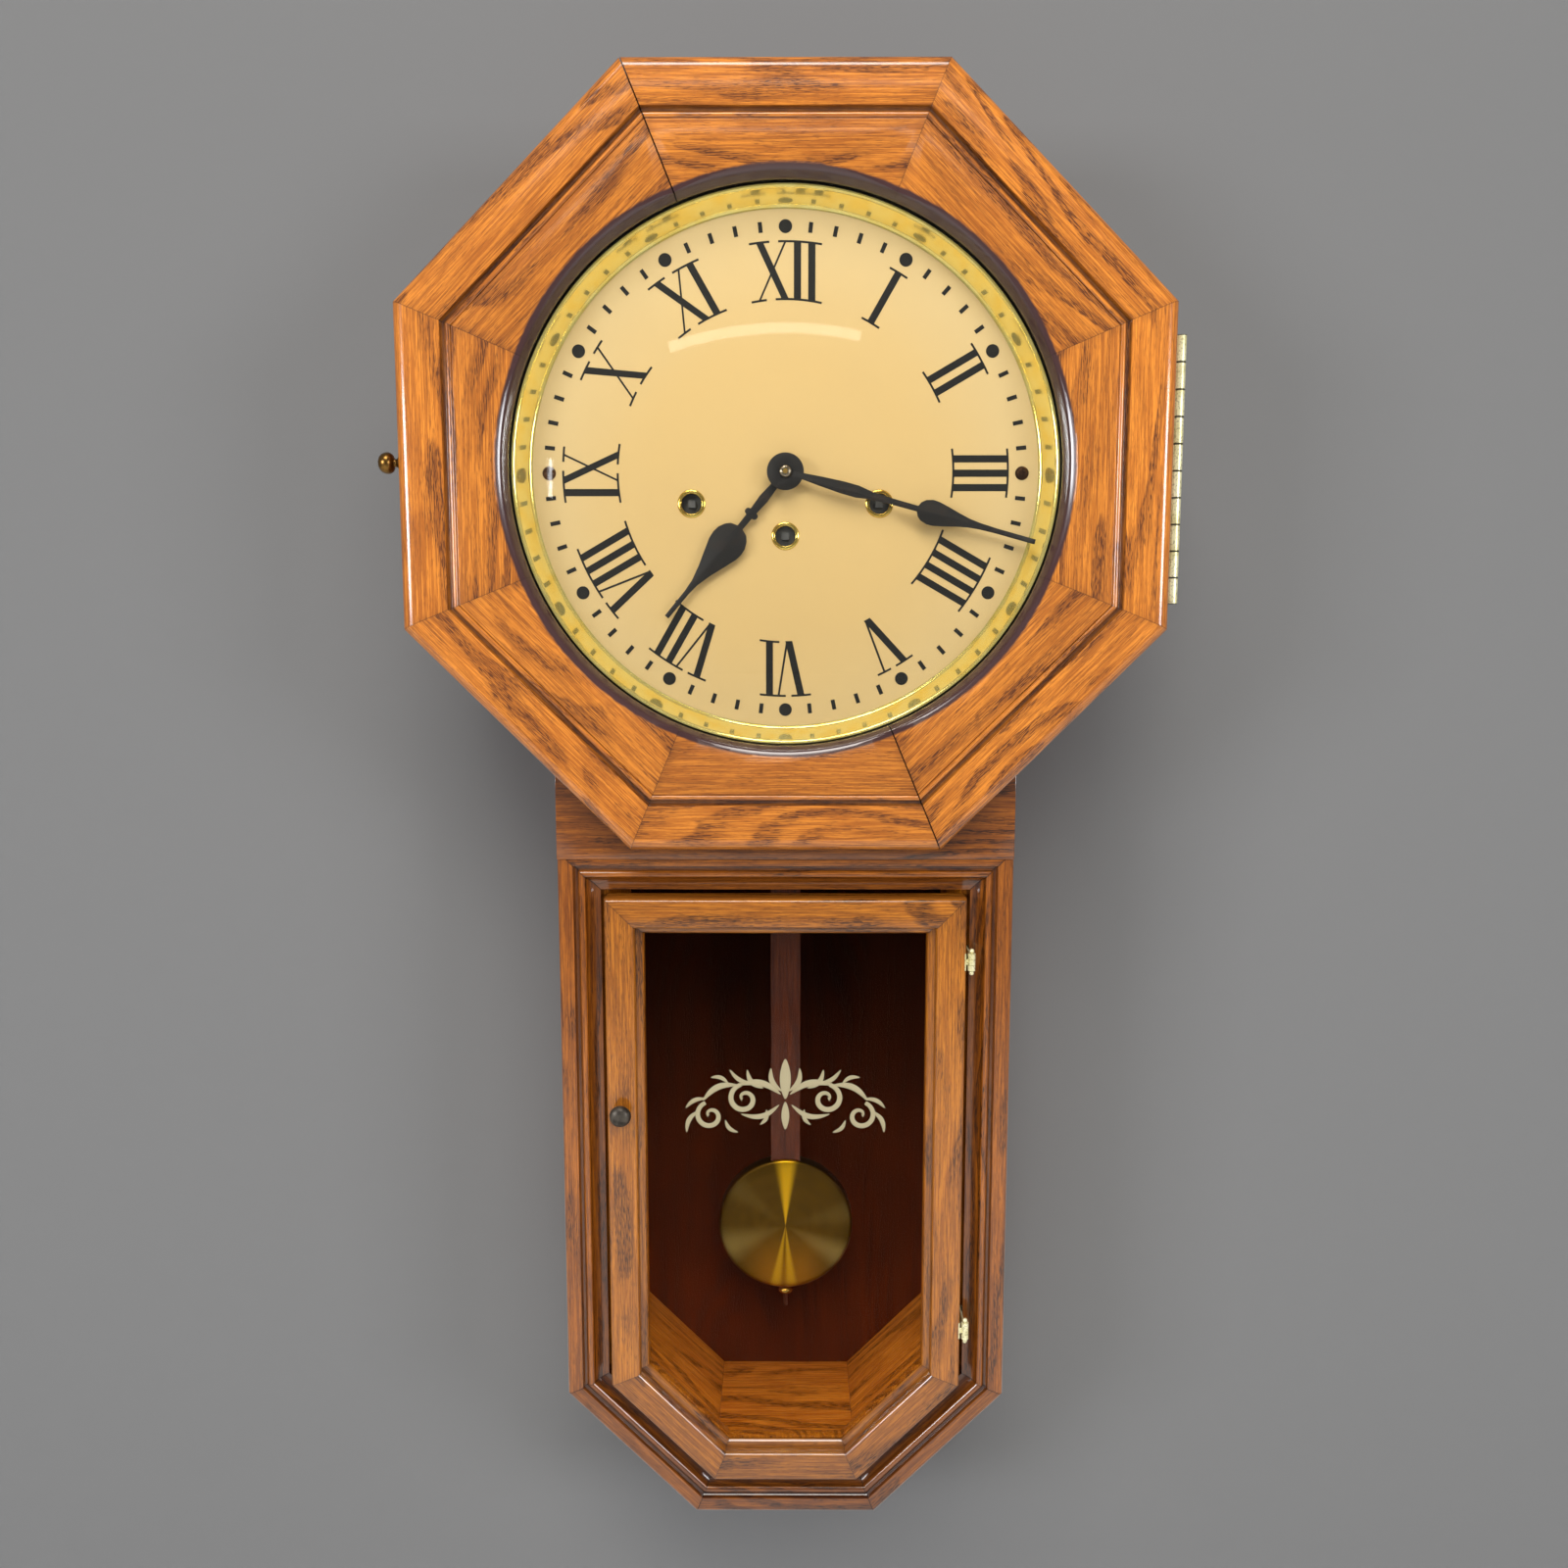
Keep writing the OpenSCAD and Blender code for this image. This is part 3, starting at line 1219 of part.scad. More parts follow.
back_board();
hood_staves();
trunk_panels();
trunk_frame();
head_board();
seat_board();
dial_battens();
hanger_plate();
case_fittings();
dial_pan();
reflector_ring();
dial_marks();
dial_screws();
winding_grommets();
front_plate();
back_plate();
plate_pillars();
suspension_cock();
hammer_bracket();
chime_rods();
hood_moulding();
dial_glass();
glass_retainer();
hood_knob();
hood_door_fittings();
door_frame();
door_glass();
glass_beads();
door_knob();
trunk_door_fittings();
centre_arbor();
minute_hand();
hour_wheel();
hour_hand();
minute_wheel();
third_wheel();
escape_wheel();
anchor();
time_barrel();
strike_barrel();
chime_barrel();
strike_wheel();
chime_wheel();
strike_fly();
chime_fly();
time_winding();
strike_winding();
chime_winding();
time_click();
strike_click();
chime_click();
pendulum_leader();
pendulum_stick();
pendulum_bob();
rating_nut();
hammer_1();
hammer_2();
hammer_3();
hammer_4();
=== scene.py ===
# Wall regulator clock: oak hood and trunk, cream dial, brass reflector, pendulum behind glass.
# Sizes are in millimetres about the dial's centre: x to the right, y back to the wall, z up.
import math
import random

import bmesh
import bpy
from mathutils import Matrix, Vector


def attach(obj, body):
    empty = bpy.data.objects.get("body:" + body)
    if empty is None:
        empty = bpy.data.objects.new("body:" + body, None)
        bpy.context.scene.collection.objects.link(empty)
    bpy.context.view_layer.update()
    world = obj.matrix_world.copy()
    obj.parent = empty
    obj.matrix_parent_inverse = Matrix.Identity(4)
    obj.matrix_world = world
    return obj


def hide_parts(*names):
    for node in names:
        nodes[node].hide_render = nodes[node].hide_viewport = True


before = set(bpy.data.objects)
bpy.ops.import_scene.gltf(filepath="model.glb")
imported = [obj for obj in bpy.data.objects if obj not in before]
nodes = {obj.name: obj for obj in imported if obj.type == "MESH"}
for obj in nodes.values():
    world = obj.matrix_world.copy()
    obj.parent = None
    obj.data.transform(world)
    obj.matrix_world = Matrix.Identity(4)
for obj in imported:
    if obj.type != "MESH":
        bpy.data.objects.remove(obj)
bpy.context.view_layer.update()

MM = 0.001
DIAL_DROP = 185.0
TO_FRAME = Matrix.Translation((0, 0, -DIAL_DROP * MM)) @ Matrix.Scale(MM, 4)
FROM_FRAME = TO_FRAME.inverted()
HALF_SIDE_ANGLE = math.radians(22.5)
chance = random.Random(12)

# Planes and radii shared with the CAD frame
DOOR_A, DOOR_FRONT, DOOR_BACK = 223.5, -154.5, -132.5
CASE_A = 221.0
OPENING_R, REBATE_Y = 161.5, -140.0
HINGE_HALF, KNUCKLE = 78, 15.5
SMALL_HINGES = (-295.5, -536.5)
DIAL_FACE = -123.5
TRUNK_HALF, TRUNK_TOP, TRUNK_FOOT, TRUNK_LEG, FRAME_FRONT = 140.5, -227.0, -666.5, 82.3, -130.0
TDOOR_HALF, TDOOR_TOP, TDOOR_FOOT, TDOOR_LEG, TDOOR_FRONT = 111.2, -256.0, -639.0, 65.1, -137.5
HEAD_JOINT = -232.8
SWING_Y, BOB_Z, BOB_R = -49.5, -505.0, 46.5


# Materials

RING_WIDTH = 6.0
ROOM_SIDE = -1.0


def tint(red, green, blue):
    """A colour given as 0 to 255 on screen, as the shader wants it."""
    linear = [c / 255 / 12.92 if c <= 10 else ((c / 255 + 0.055) / 1.055) ** 2.4 for c in (red, green, blue)]
    return (*linear, 1.0)


class Number:
    """A number that changes over a surface. Its operators add Math nodes."""

    def __init__(self, look, socket):
        self.look, self.socket = look, socket

    def maths(self, operation, first, second=0.0, clamp=False):
        node = self.look.node("Math", {"operation": operation, "use_clamp": clamp}, {0: first, 1: second})
        return Number(self.look, node.outputs[0])

    def __add__(self, other):
        return self.maths("ADD", self, other)

    def __radd__(self, other):
        return self.maths("ADD", other, self)

    def __sub__(self, other):
        return self.maths("SUBTRACT", self, other)

    def __rsub__(self, other):
        return self.maths("SUBTRACT", other, self)

    def __mul__(self, other):
        return self.maths("MULTIPLY", self, other)

    def __rmul__(self, other):
        return self.maths("MULTIPLY", other, self)

    def __truediv__(self, other):
        return self.maths("DIVIDE", self, other)

    def least(self, other):
        return self.maths("MINIMUM", self, other)

    def fraction(self):
        return self.maths("FRACT", self)

    def root(self):
        return self.maths("SQRT", self)

    def size(self):
        return self.maths("ABSOLUTE", self)

    def held(self):
        """Kept between 0 and 1."""
        return self.maths("ADD", self, 0.0, clamp=True)

    def rise(self, low, high):
        """0 below low, 1 above high, smooth between; low may be the higher."""
        node = self.look.node(
            "MapRange", {"interpolation_type": "SMOOTHSTEP"}, {"Value": self, "From Min": low, "From Max": high}
        )
        return Number(self.look, node.outputs[0])


class Finish:
    """One material and the nodes that make its colour, gloss and relief."""

    def __init__(self, name):
        self.material = bpy.data.materials.new(name)
        self.material.use_nodes = True
        self.tree = self.material.node_tree
        self.tree.nodes.clear()

    def node(self, kind, settings, sockets):
        """A node with its settings, then the values or links of its sockets."""
        made = self.tree.nodes.new("ShaderNode" + kind)
        for key, value in settings.items():
            setattr(made, key, value)
        by_name = {socket.identifier: socket for socket in made.inputs}
        for key, value in sockets.items():
            socket = made.inputs[key] if isinstance(key, int) else by_name[key]
            if isinstance(value, Number):
                value = value.socket
            if isinstance(value, bpy.types.NodeSocket):
                self.tree.links.new(value, socket)
            else:
                socket.default_value = value
        return made

    def number(self, socket):
        return Number(self, socket)

    def place(self):
        """Object coordinates in millimetres about the dial's centre."""
        spot = self.node("TexCoord", {}, {}).outputs["Object"]
        moved = self.node("VectorMath", {"operation": "ADD"}, {0: spot, 1: (0, 0, DIAL_DROP * MM)})
        return self.node("VectorMath", {"operation": "SCALE"}, {0: moved.outputs[0], "Scale": 1 / MM}).outputs[0]

    def attribute(self, name):
        return self.node("Attribute", {"attribute_name": name}, {}).outputs["Vector"]

    def parts(self, vector):
        split = self.node("SeparateXYZ", {}, {0: vector})
        return [self.number(out) for out in split.outputs]

    def joined(self, x, y, z):
        return self.node("CombineXYZ", {}, {0: x, 1: y, 2: z}).outputs[0]

    def stretched(self, vector, x, y, z):
        return self.node("VectorMath", {"operation": "DIVIDE"}, {0: vector, 1: (x, y, z)}).outputs[0]

    def noise(self, vector, detail=2.0, rough=0.5):
        sockets = {"Vector": vector, "Scale": 1.0, "Detail": detail, "Roughness": rough}
        return self.number(self.node("TexNoise", {"noise_dimensions": "3D"}, sockets).outputs[0])

    def mix(self, share, first, second):
        """The first colour where share is 0, the second where it is 1."""
        node = self.node("Mix", {"data_type": "RGBA"}, {"Factor_Float": share, "A_Color": first, "B_Color": second})
        return node.outputs[2]

    def bump(self, height, depth):
        """Relief: height 0 to 1 stands for depth in millimetres."""
        return self.node("Bump", {}, {"Strength": 1.0, "Distance": depth * MM, "Height": height}).outputs[0]

    def show(self, surface):
        self.node("OutputMaterial", {}, {"Surface": surface})
        return self.material

    def coat(self, **sockets):
        """The Principled surface; names use _ for a space."""
        named = {key.replace("_", " "): value for key, value in sockets.items()}
        return self.show(self.node("BsdfPrincipled", {}, named).outputs[0])


def deep_stain(mid, dark):
    """The brown of the growth rings, between the middle and the dark colour."""
    return tuple(m * 0.45 + d * 0.55 for m, d in zip(mid, dark))


def oak(name, light, mid, dark, run="board", pore_share=0.95, gloss=0.5, varnish=0.7, shine=0.12, round_opening=False,
        painted_shade_top=0.0, outside=None):
    """Stained open-pored oak. run says where the grain lies: the piece's boards, or along an axis."""
    look = Finish(name)
    deepest = deep_stain(mid, dark)
    if run == "board":
        grain = look.attribute("grain")
        along, across, deep = look.parts(grain)
    else:
        x, y, z = look.parts(look.place())
        along, across, deep = {"x": (x, z, y), "z": (z, x, y)}[run]
        across, deep = across + 31.0, deep + 57.0
        grain = look.joined(along, across, deep)
    if outside:
        # Faces that the boards turn to the room carry ROOM_SIDE as their stain, and the colours of the case
        skin = (0 - look.parts(look.attribute("edge"))[2]).held()
        outer = outside[:2] + (deep_stain(*outside[1:]), outside[2])
        light, mid, deepest, dark = (look.mix(skin, *pair) for pair in zip((light, mid, deepest, dark), outer))
    wander = look.noise(look.stretched(grain, 190, 62, 62), 1.0)
    ripple = look.noise(look.stretched(grain, 50, 9, 9), 2.0)
    ring = (
        (across * across + deep * deep).root() + (wander - 0.5) * 52 + (ripple - 0.5) * 3.0 + along * 0.02
    ) / RING_WIDTH
    phase = ring.fraction()
    rings = phase.rise(0.0, 0.12) * (1 - phase.rise(0.4, 0.75))
    spread = look.noise(look.stretched(grain, 130, 12, 12), 1.0).rise(0.42, 0.6)
    patch = (rings * (spread * 0.85 + 0.15)).held()
    fibre = look.noise(look.stretched(grain, 30, 1.15, 1.15), 3.0, 0.62)
    pore = look.noise(look.stretched(grain, 5.5, 0.42, 0.42), 1.0, 0.45)
    pores = (pore + patch * 0.09).rise(0.56, 0.68) * (patch * 0.6 + 0.4)
    line = look.noise(look.stretched(grain, 40, 0.62, 0.62), 1.0, 0.5).rise(0.53, 0.63)
    cloud = look.noise(look.stretched(grain, 110, 34, 34), 2.0)
    body = look.mix((fibre.rise(0.38, 0.6) * 0.75 + cloud.rise(0.3, 0.7) * 0.3).held(), light, mid)
    body = look.mix((patch * 0.5 + line * 0.55).held(), body, deepest)
    body = look.mix((pores * pore_share).held(), body, dark)
    if painted_shade_top:
        # Painted shade: the inside is darker towards the top, where the hood and door shade it, and the face to the
        # wall is bare wood
        _, back, high = look.parts(look.place())
        body = look.mix(high.rise(-620, -330) * painted_shade_top, body, tint(8, 3, 2))
        body = look.mix(back.rise(-1.5, -0.5) * 0.55, body, look.mix(pores, tint(168, 120, 76), tint(110, 70, 40)))
    gloss_map = look.noise(look.stretched(grain, 16, 3, 3), 2.0) * 0.1 + (gloss - 0.05) + pores * 0.12
    peel = look.noise(look.stretched(look.place(), 1.5, 1.5, 1.5), 1.0)
    relief = 1 - pores * 0.6 - (fibre - 0.5) * 0.45 + peel * 0.45
    if run == "board":
        near, other, stain_and_shade = look.parts(look.attribute("edge"))
        end = near.least(other)
        smudge = look.noise(look.stretched(look.place(), 7, 7, 7), 2.0)
        # Dark stain near the mitred ends, and the stain and painted shade that each length carries
        dark_stain_and_shade = (1 - (end + (smudge - 0.5) * 9).rise(-1.0, 6.0)) * 0.14 + stain_and_shade * (smudge * 0.5 + 0.75)
        if round_opening:
            # The turned edge round the glass is near black
            x, _, z = look.parts(look.place())
            radius = (x * x + z * z).root()
            rim = 1 - (radius + (smudge - 0.5) * 1.2).rise(OPENING_R + 5.1, OPENING_R + 6.7)
            body = look.mix(rim, body, tint(58, 34, 34))
            relief = relief + peel * rim * 0.5
        body = look.mix((dark_stain_and_shade * 0.92).held(), body, tint(36, 15, 12))
        joint = 1 - (end + (smudge - 0.5) * 0.4).rise(0.1, 0.42)
        body = look.mix((joint * 0.4).held(), body, tint(34, 17, 10))
        relief = relief - joint * 0.5
        gloss_map = gloss_map - (dark_stain_and_shade * 0.06).held()
    return look.coat(
        Base_Color=body, Roughness=gloss_map, Normal=look.bump(relief, 0.08), Specular_IOR_Level=shine,
        Coat_Weight=varnish, Coat_Roughness=0.14, Coat_IOR=1.8,
    )


def brass(name, light, dark, gloss=0.2, brushed=0.0, spots=0.0, metal=1.0, knuckle=0.0):
    """Lacquered or aged brass with fine wipe marks and tarnish."""
    look = Finish(name)
    place = look.place()
    cloud = look.noise(look.stretched(place, 11, 11, 11), 3.0)
    fine = look.noise(look.stretched(place, 1.3, 1.3, 1.3), 2.0)
    wipe = look.noise(look.stretched(place, 0.25, 3.0, 9.0), 2.0)
    colour = look.mix(cloud.rise(0.35, 0.75), light, dark)
    if spots:
        colour = look.mix((fine.rise(0.5, 0.68) * spots).held(), colour, tint(70, 52, 24))
    if knuckle:
        # Painted shade in the gaps between the knuckles of the long hinge
        across, _, up = look.parts(place)
        joint = ((up / knuckle).fraction() - 0.5).size().rise(0.5 - 0.8 / knuckle, 0.5 - 0.3 / knuckle)
        joint = joint * across.rise(CASE_A + 5, CASE_A + 6)
        colour = look.mix((joint * 0.95).held(), colour, tint(30, 22, 12))
    roughness = cloud * 0.1 + (gloss - 0.05) + fine * 0.04 + wipe * brushed
    return look.coat(
        Base_Color=colour, Metallic=metal, Roughness=roughness, Normal=look.bump(fine * 0.5 + wipe * brushed * 2, 0.012)
    )


def steel(name, light, dark, gloss=0.3):
    """Turned steel with fine tool marks."""
    look = Finish(name)
    place = look.place()
    cloud = look.noise(look.stretched(place, 9, 9, 9), 3.0)
    turned_marks = look.noise(look.stretched(place, 0.3, 0.3, 2.5), 2.0)
    colour = look.mix(cloud.rise(0.3, 0.75), light, dark)
    return look.coat(
        Base_Color=colour, Metallic=1.0, Roughness=cloud * 0.16 + gloss - 0.06, Normal=look.bump(turned_marks, 0.01)
    )


def spun_brass():
    """The bob: turned face with fine rings, and painted highlights and reflections that fall in wedges to the middle.
    """
    look = Finish("spun_bob_brass")
    x, _, z = look.parts(look.place())
    z = z - BOB_Z
    radius = (x * x + z * z).root()
    turn = look.number(look.node("Math", {"operation": "ARCTAN2"}, {0: x, 1: z}).outputs[0])
    rings = look.noise(look.joined(radius / 0.24, turn * 0.35, 0.0), 2.0, 0.6)
    broad = look.noise(look.joined(radius / 5, turn * 1.6, 4.0), 2.0)

    def wedge(at, half):
        """1 along the direction at, in radians clockwise from the top, falling to 0 at half."""
        away = look.number(look.node("Math", {"operation": "WRAP"}, {0: turn - at, 1: math.pi, 2: -math.pi}).outputs[0])
        return 1 - away.size().rise(0.02, half)

    # Painted highlights in wedges above and below the middle, and painted pale reflections in wedges at the sides
    painted_highlight = wedge(0.0, 0.21) + wedge(0.1, 0.13) * 0.25 + wedge(3.05, 0.13) * 0.55 + wedge(3.3, 0.13) * 0.55
    painted_highlight = (painted_highlight * (rings * 0.3 + 0.85)).held()
    painted_reflection = (wedge(-1.95, 0.42) + wedge(2.1, 0.34) + wedge(-0.9, 0.3) * 0.3 + wedge(1.35, 0.3) * 0.3) * (radius / BOB_R)
    # Painted reflection: the lower middle of the face is lighter
    low = (1 - (z / BOB_R).rise(-0.9, 0.1)) * (1 - (x.size() / BOB_R).rise(0.2, 0.8))
    dull = look.mix(broad.rise(0.3, 0.7), tint(100, 72, 18), tint(90, 64, 15))
    dull = look.mix((low * 0.75).held(), dull, tint(172, 112, 22))
    dull = look.mix((painted_reflection * 0.6).held(), dull, tint(176, 150, 82))
    colour = look.mix(painted_highlight, dull, tint(232, 178, 30))
    rough = 0.34 + rings * 0.16 - painted_highlight * 0.06
    return look.coat(Base_Color=colour, Metallic=1.0, Roughness=rough, Normal=look.bump(rings, 0.006))


def dial_paint():
    """Cream paint, a little paler to the rim, with faint clouds."""
    look = Finish("dial_cream_paint")
    x, _, z = look.parts(look.place())
    radius = (x * x + (z + 14) * (z + 14)).root()
    cloud = look.noise(look.stretched(look.place(), 60, 60, 60), 2.0)
    grit = look.noise(look.stretched(look.place(), 0.5, 0.5, 0.5), 2.0)
    warm = look.mix((radius / 150 + (cloud - 0.5) * 0.25).rise(0.5, 1.1), tint(209, 180, 124), tint(208, 185, 138))
    colour = look.mix((cloud.rise(0.45, 0.8) * 0.35).held(), warm, tint(203, 175, 122))
    return look.coat(
        Base_Color=colour, Roughness=grit * 0.08 + 0.46, Normal=look.bump(grit, 0.008), Specular_IOR_Level=0.12
    )


def black_paint(name, colour, gloss, wear=0.0, nut=0.0):
    """Brushed paint; nut is the radius round the dial's centre where the metal is bare."""
    look = Finish(name)
    place = look.place()
    cloud = look.noise(look.stretched(place, 6, 6, 6), 3.0)
    brush = look.noise(look.stretched(place, 0.6, 0.6, 4), 2.0)
    paint = look.mix((cloud.rise(0.5, 0.85) * wear).held(), colour, tint(74, 52, 36))
    if not nut:
        return look.coat(Base_Color=paint, Roughness=gloss + cloud * 0.12, Normal=look.bump(brush, 0.01))
    x, _, z = look.parts(place)
    bare = 1 - (x * x + z * z).root().rise(nut - 0.2, nut)
    paint = look.mix(bare, paint, tint(150, 140, 124))
    return look.coat(
        Base_Color=paint, Metallic=bare, Roughness=gloss + cloud * 0.12 - bare * 0.2, Normal=look.bump(brush, 0.01)
    )


def bronze():
    look = Finish("dark_bronze_knob")
    place = look.place()
    cloud = look.noise(look.stretched(place, 4, 4, 4), 3.0)
    colour = look.mix(cloud.rise(0.35, 0.7), tint(88, 82, 74), tint(52, 47, 42))
    return look.coat(Base_Color=colour, Metallic=0.75, Roughness=cloud * 0.15 + 0.36, Normal=look.bump(cloud, 0.02))


def glass(name, shade, sheen):
    """Thin clear glass: see-through straight on, a mirror at a slant, with faint specks."""
    look = Finish(name)
    specks = look.noise(look.stretched(look.place(), 3, 3, 3), 2.0).rise(0.35, 0.8)
    clear = look.node("BsdfTransparent", {}, {"Color": shade}).outputs[0]
    mirror = look.node("BsdfGlossy", {}, {"Color": (1, 1, 1, 1), "Roughness": 0.03}).outputs[0]
    slant = look.number(look.node("Fresnel", {}, {"IOR": 1.45}).outputs[0])
    share = (slant * sheen + specks * sheen * 0.01).held()
    return look.show(look.node("MixShader", {}, {0: share, 1: clear, 2: mirror}).outputs[0])


def backdrop(name, colour, painted_shade_at_top):
    """Matt paper that takes shadows and can't be seen from behind; the last value is its brightness high up, and below
    1 it is painted shade darkening the paper towards the top.
    """
    look = Finish(name)
    high = look.parts(look.place())[2].rise(-900, 500)
    paint = look.mix(high, colour, tuple(c * painted_shade_at_top for c in colour[:3]) + (1.0,))
    matt = look.node("BsdfDiffuse", {}, {"Color": paint}).outputs[0]
    clear = look.node("BsdfTransparent", {}, {}).outputs[0]
    behind = look.node("NewGeometry", {}, {}).outputs["Backfacing"]
    return look.show(look.node("MixShader", {}, {0: behind, 1: matt, 2: clear}).outputs[0])


hood_oak = oak("hood_oak", tint(208, 128, 42), tint(160, 90, 25), tint(82, 42, 16), round_opening=True)
trunk_oak = oak("trunk_oak", tint(164, 94, 21), tint(118, 62, 12), tint(54, 27, 8))
door_oak = oak("door_oak", tint(182, 112, 29), tint(138, 78, 17), tint(66, 36, 10))
CASE_STAIN = tint(196, 118, 46), tint(154, 88, 30), tint(78, 42, 18)
case_oak = oak("case_oak", *CASE_STAIN)
# The inside colours are lighter than the case's: painted light for the dim inside of the case
inner_oak = oak(
    "inner_oak", tint(216, 132, 32), tint(172, 92, 16), tint(84, 42, 9), gloss=0.55, varnish=0.1, shine=0.05,
    outside=CASE_STAIN,
)
# The back board is painted darker towards the top, as painted shade
back_oak = oak(
    "back_oak", tint(92, 34, 6), tint(76, 26, 4), tint(54, 18, 3), run="z", gloss=0.6, varnish=0.0, shine=0.0,
    pore_share=0.4, painted_shade_top=0.75,
)
PLAIN_OAK = tint(176, 112, 62), tint(138, 84, 42), tint(76, 46, 26)
rail_oak = oak("rail_oak", *PLAIN_OAK, run="z", gloss=0.6, varnish=0.0)
seat_oak = oak("seat_oak", *PLAIN_OAK, run="x", gloss=0.6, varnish=0.0)
stick_wood = oak(
    "walnut_stick_wood", tint(92, 38, 10), tint(70, 26, 6), tint(34, 13, 4), run="z", gloss=0.45, varnish=0.2,
    pore_share=0.5,
)
dial_cream = dial_paint()
dial_ink = black_paint("dial_ink", tint(20, 20, 18), 0.3)
hand_black = black_paint("hand_black", tint(15, 13, 12), 0.42, wear=0.25, nut=3.4)
retainer_black = black_paint("retainer_black", tint(18, 18, 17), 0.4)
ring_brass = brass("ring_brass", tint(255, 242, 156), tint(255, 230, 120), gloss=0.08, metal=0.74)
knob_brass = brass("knob_brass", tint(140, 104, 52), tint(72, 50, 26), gloss=0.28, spots=0.5)
hinge_brass = brass(
    "hinge_brass", tint(240, 236, 196), tint(216, 208, 150), gloss=0.34, spots=0.45, metal=0.5, knuckle=KNUCKLE
)
grommet_brass = brass("grommet_brass", tint(240, 214, 116), tint(206, 166, 70), gloss=0.16)
works_brass = brass("works_brass", tint(222, 184, 98), tint(186, 146, 66), gloss=0.28, brushed=0.1)
bob_brass = spun_brass()
nut_brass = brass("nut_brass", tint(196, 152, 66), tint(140, 102, 40), gloss=0.24)
works_steel = steel("works_steel", tint(178, 178, 176), tint(130, 130, 130))
screw_steel = steel("screw_bronze", tint(92, 64, 42), tint(54, 36, 24), gloss=0.34)
knob_bronze = bronze()
dome_glass = glass("dome_glass", (0.985, 0.985, 0.97, 1.0), 0.55)
pane_glass = glass("pane_glass", (0.96, 0.96, 0.95, 1.0), 0.05)
scroll_paint = black_paint("scroll_paint", tint(160, 150, 120), 0.5)


# Shapes


def new_shape():
    """An empty mesh to build on."""
    return bmesh.new()


def soften(shape, width, angle=35.0, segments=2):
    """Rounds the edges that turn by more than the angle."""
    edges = [e for e in shape.edges if e.is_manifold and e.calc_face_angle(0.0) > math.radians(angle)]
    bmesh.ops.bevel(
        shape, geom=edges, offset=width, offset_type="OFFSET", segments=segments, profile=0.5, affect="EDGES",
        clamp_overlap=True, material=-1,
    )


def close_up(shape):
    bmesh.ops.remove_doubles(shape, verts=shape.verts, dist=1e-4)
    bmesh.ops.recalc_face_normals(shape, faces=shape.faces)


def turned(shape, outline, centre=(0.0, 0.0), steps=96, closed=True):
    """Turns an outline of (radius, y) about an axis along Y through centre."""
    made = new_shape()
    verts = [made.verts.new((centre[0] + r, y, centre[1])) for r, y in outline]
    pairs = list(zip(verts, verts[1:])) + ([(verts[-1], verts[0])] if closed else [])
    edges = [made.edges.new(pair) for pair in pairs]
    bmesh.ops.spin(
        made, geom=verts + edges, cent=(centre[0], 0, centre[1]), axis=(0, 1, 0), dvec=(0, 0, 0), angle=math.tau,
        steps=steps, use_merge=True, use_duplicate=False,
    )
    loose = [e for e in made.edges if not e.link_faces]
    bmesh.ops.delete(made, geom=loose, context="EDGES")
    close_up(made)
    return pour(made, shape)


def pour(source, target, matrix=None):
    """Moves every face of source into target, and returns the new vertices."""
    copied = {}
    for v in source.verts:
        copied[v] = target.verts.new(matrix @ v.co if matrix else v.co)
    for f in source.faces:
        face = target.faces.new([copied[v] for v in f.verts])
        face.material_index = f.material_index
        face.smooth = True
    source.free()
    return list(copied.values())


def carve(shape, cutter):
    """Cuts one closed shape out of another."""
    things = []
    for bm in (shape, cutter):
        mesh = bpy.data.meshes.new("carving")
        bm.to_mesh(mesh)
        bm.free()
        things.append(bpy.data.objects.new("carving", mesh))
        bpy.context.scene.collection.objects.link(things[-1])
    cut = things[0].modifiers.new("cut", "BOOLEAN")
    cut.operation, cut.solver, cut.object = "DIFFERENCE", "EXACT", things[1]
    graph = bpy.context.evaluated_depsgraph_get()
    result = bpy.data.meshes.new_from_object(things[0].evaluated_get(graph))
    made = new_shape()
    made.from_mesh(result)
    for thing in things:
        mesh = thing.data
        bpy.data.objects.remove(thing)
        bpy.data.meshes.remove(mesh)
    bpy.data.meshes.remove(result)
    return made


def box_shape(x0, x1, y0, y1, z0, z1):
    made = new_shape()
    bmesh.ops.create_cube(made, size=1.0)
    bmesh.ops.scale(made, vec=(x1 - x0, y1 - y0, z1 - z0), verts=made.verts)
    bmesh.ops.translate(made, vec=((x0 + x1) / 2, (y0 + y1) / 2, (z0 + z1) / 2), verts=made.verts)
    return made


def piece(name, shape, body, look, replaces=(), sharp=32.0):
    """Makes the object, puts it in the frame and lets it ride on its body."""
    mesh = bpy.data.meshes.new(name)
    bmesh.ops.transform(shape, matrix=TO_FRAME, verts=shape.verts)
    shape.to_mesh(mesh)
    shape.free()
    mesh.shade_smooth()
    mesh.set_sharp_from_angle(angle=math.radians(sharp))
    mesh.materials.append(look)
    made = bpy.data.objects.new(name, mesh)
    bpy.context.scene.collection.objects.link(made)
    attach(made, body)
    if replaces:
        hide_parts(*replaces)


def copy_of(node):
    """A CAD node's solid as a clean shape in millimetres."""
    shape = new_shape()
    shape.from_mesh(nodes[node].data)
    bmesh.ops.transform(shape, matrix=FROM_FRAME, verts=shape.verts)
    bmesh.ops.remove_doubles(shape, verts=shape.verts, dist=1e-3)
    bmesh.ops.dissolve_limit(
        shape, angle_limit=math.radians(0.5), use_dissolve_boundaries=False, verts=shape.verts, edges=shape.edges
    )
    return shape


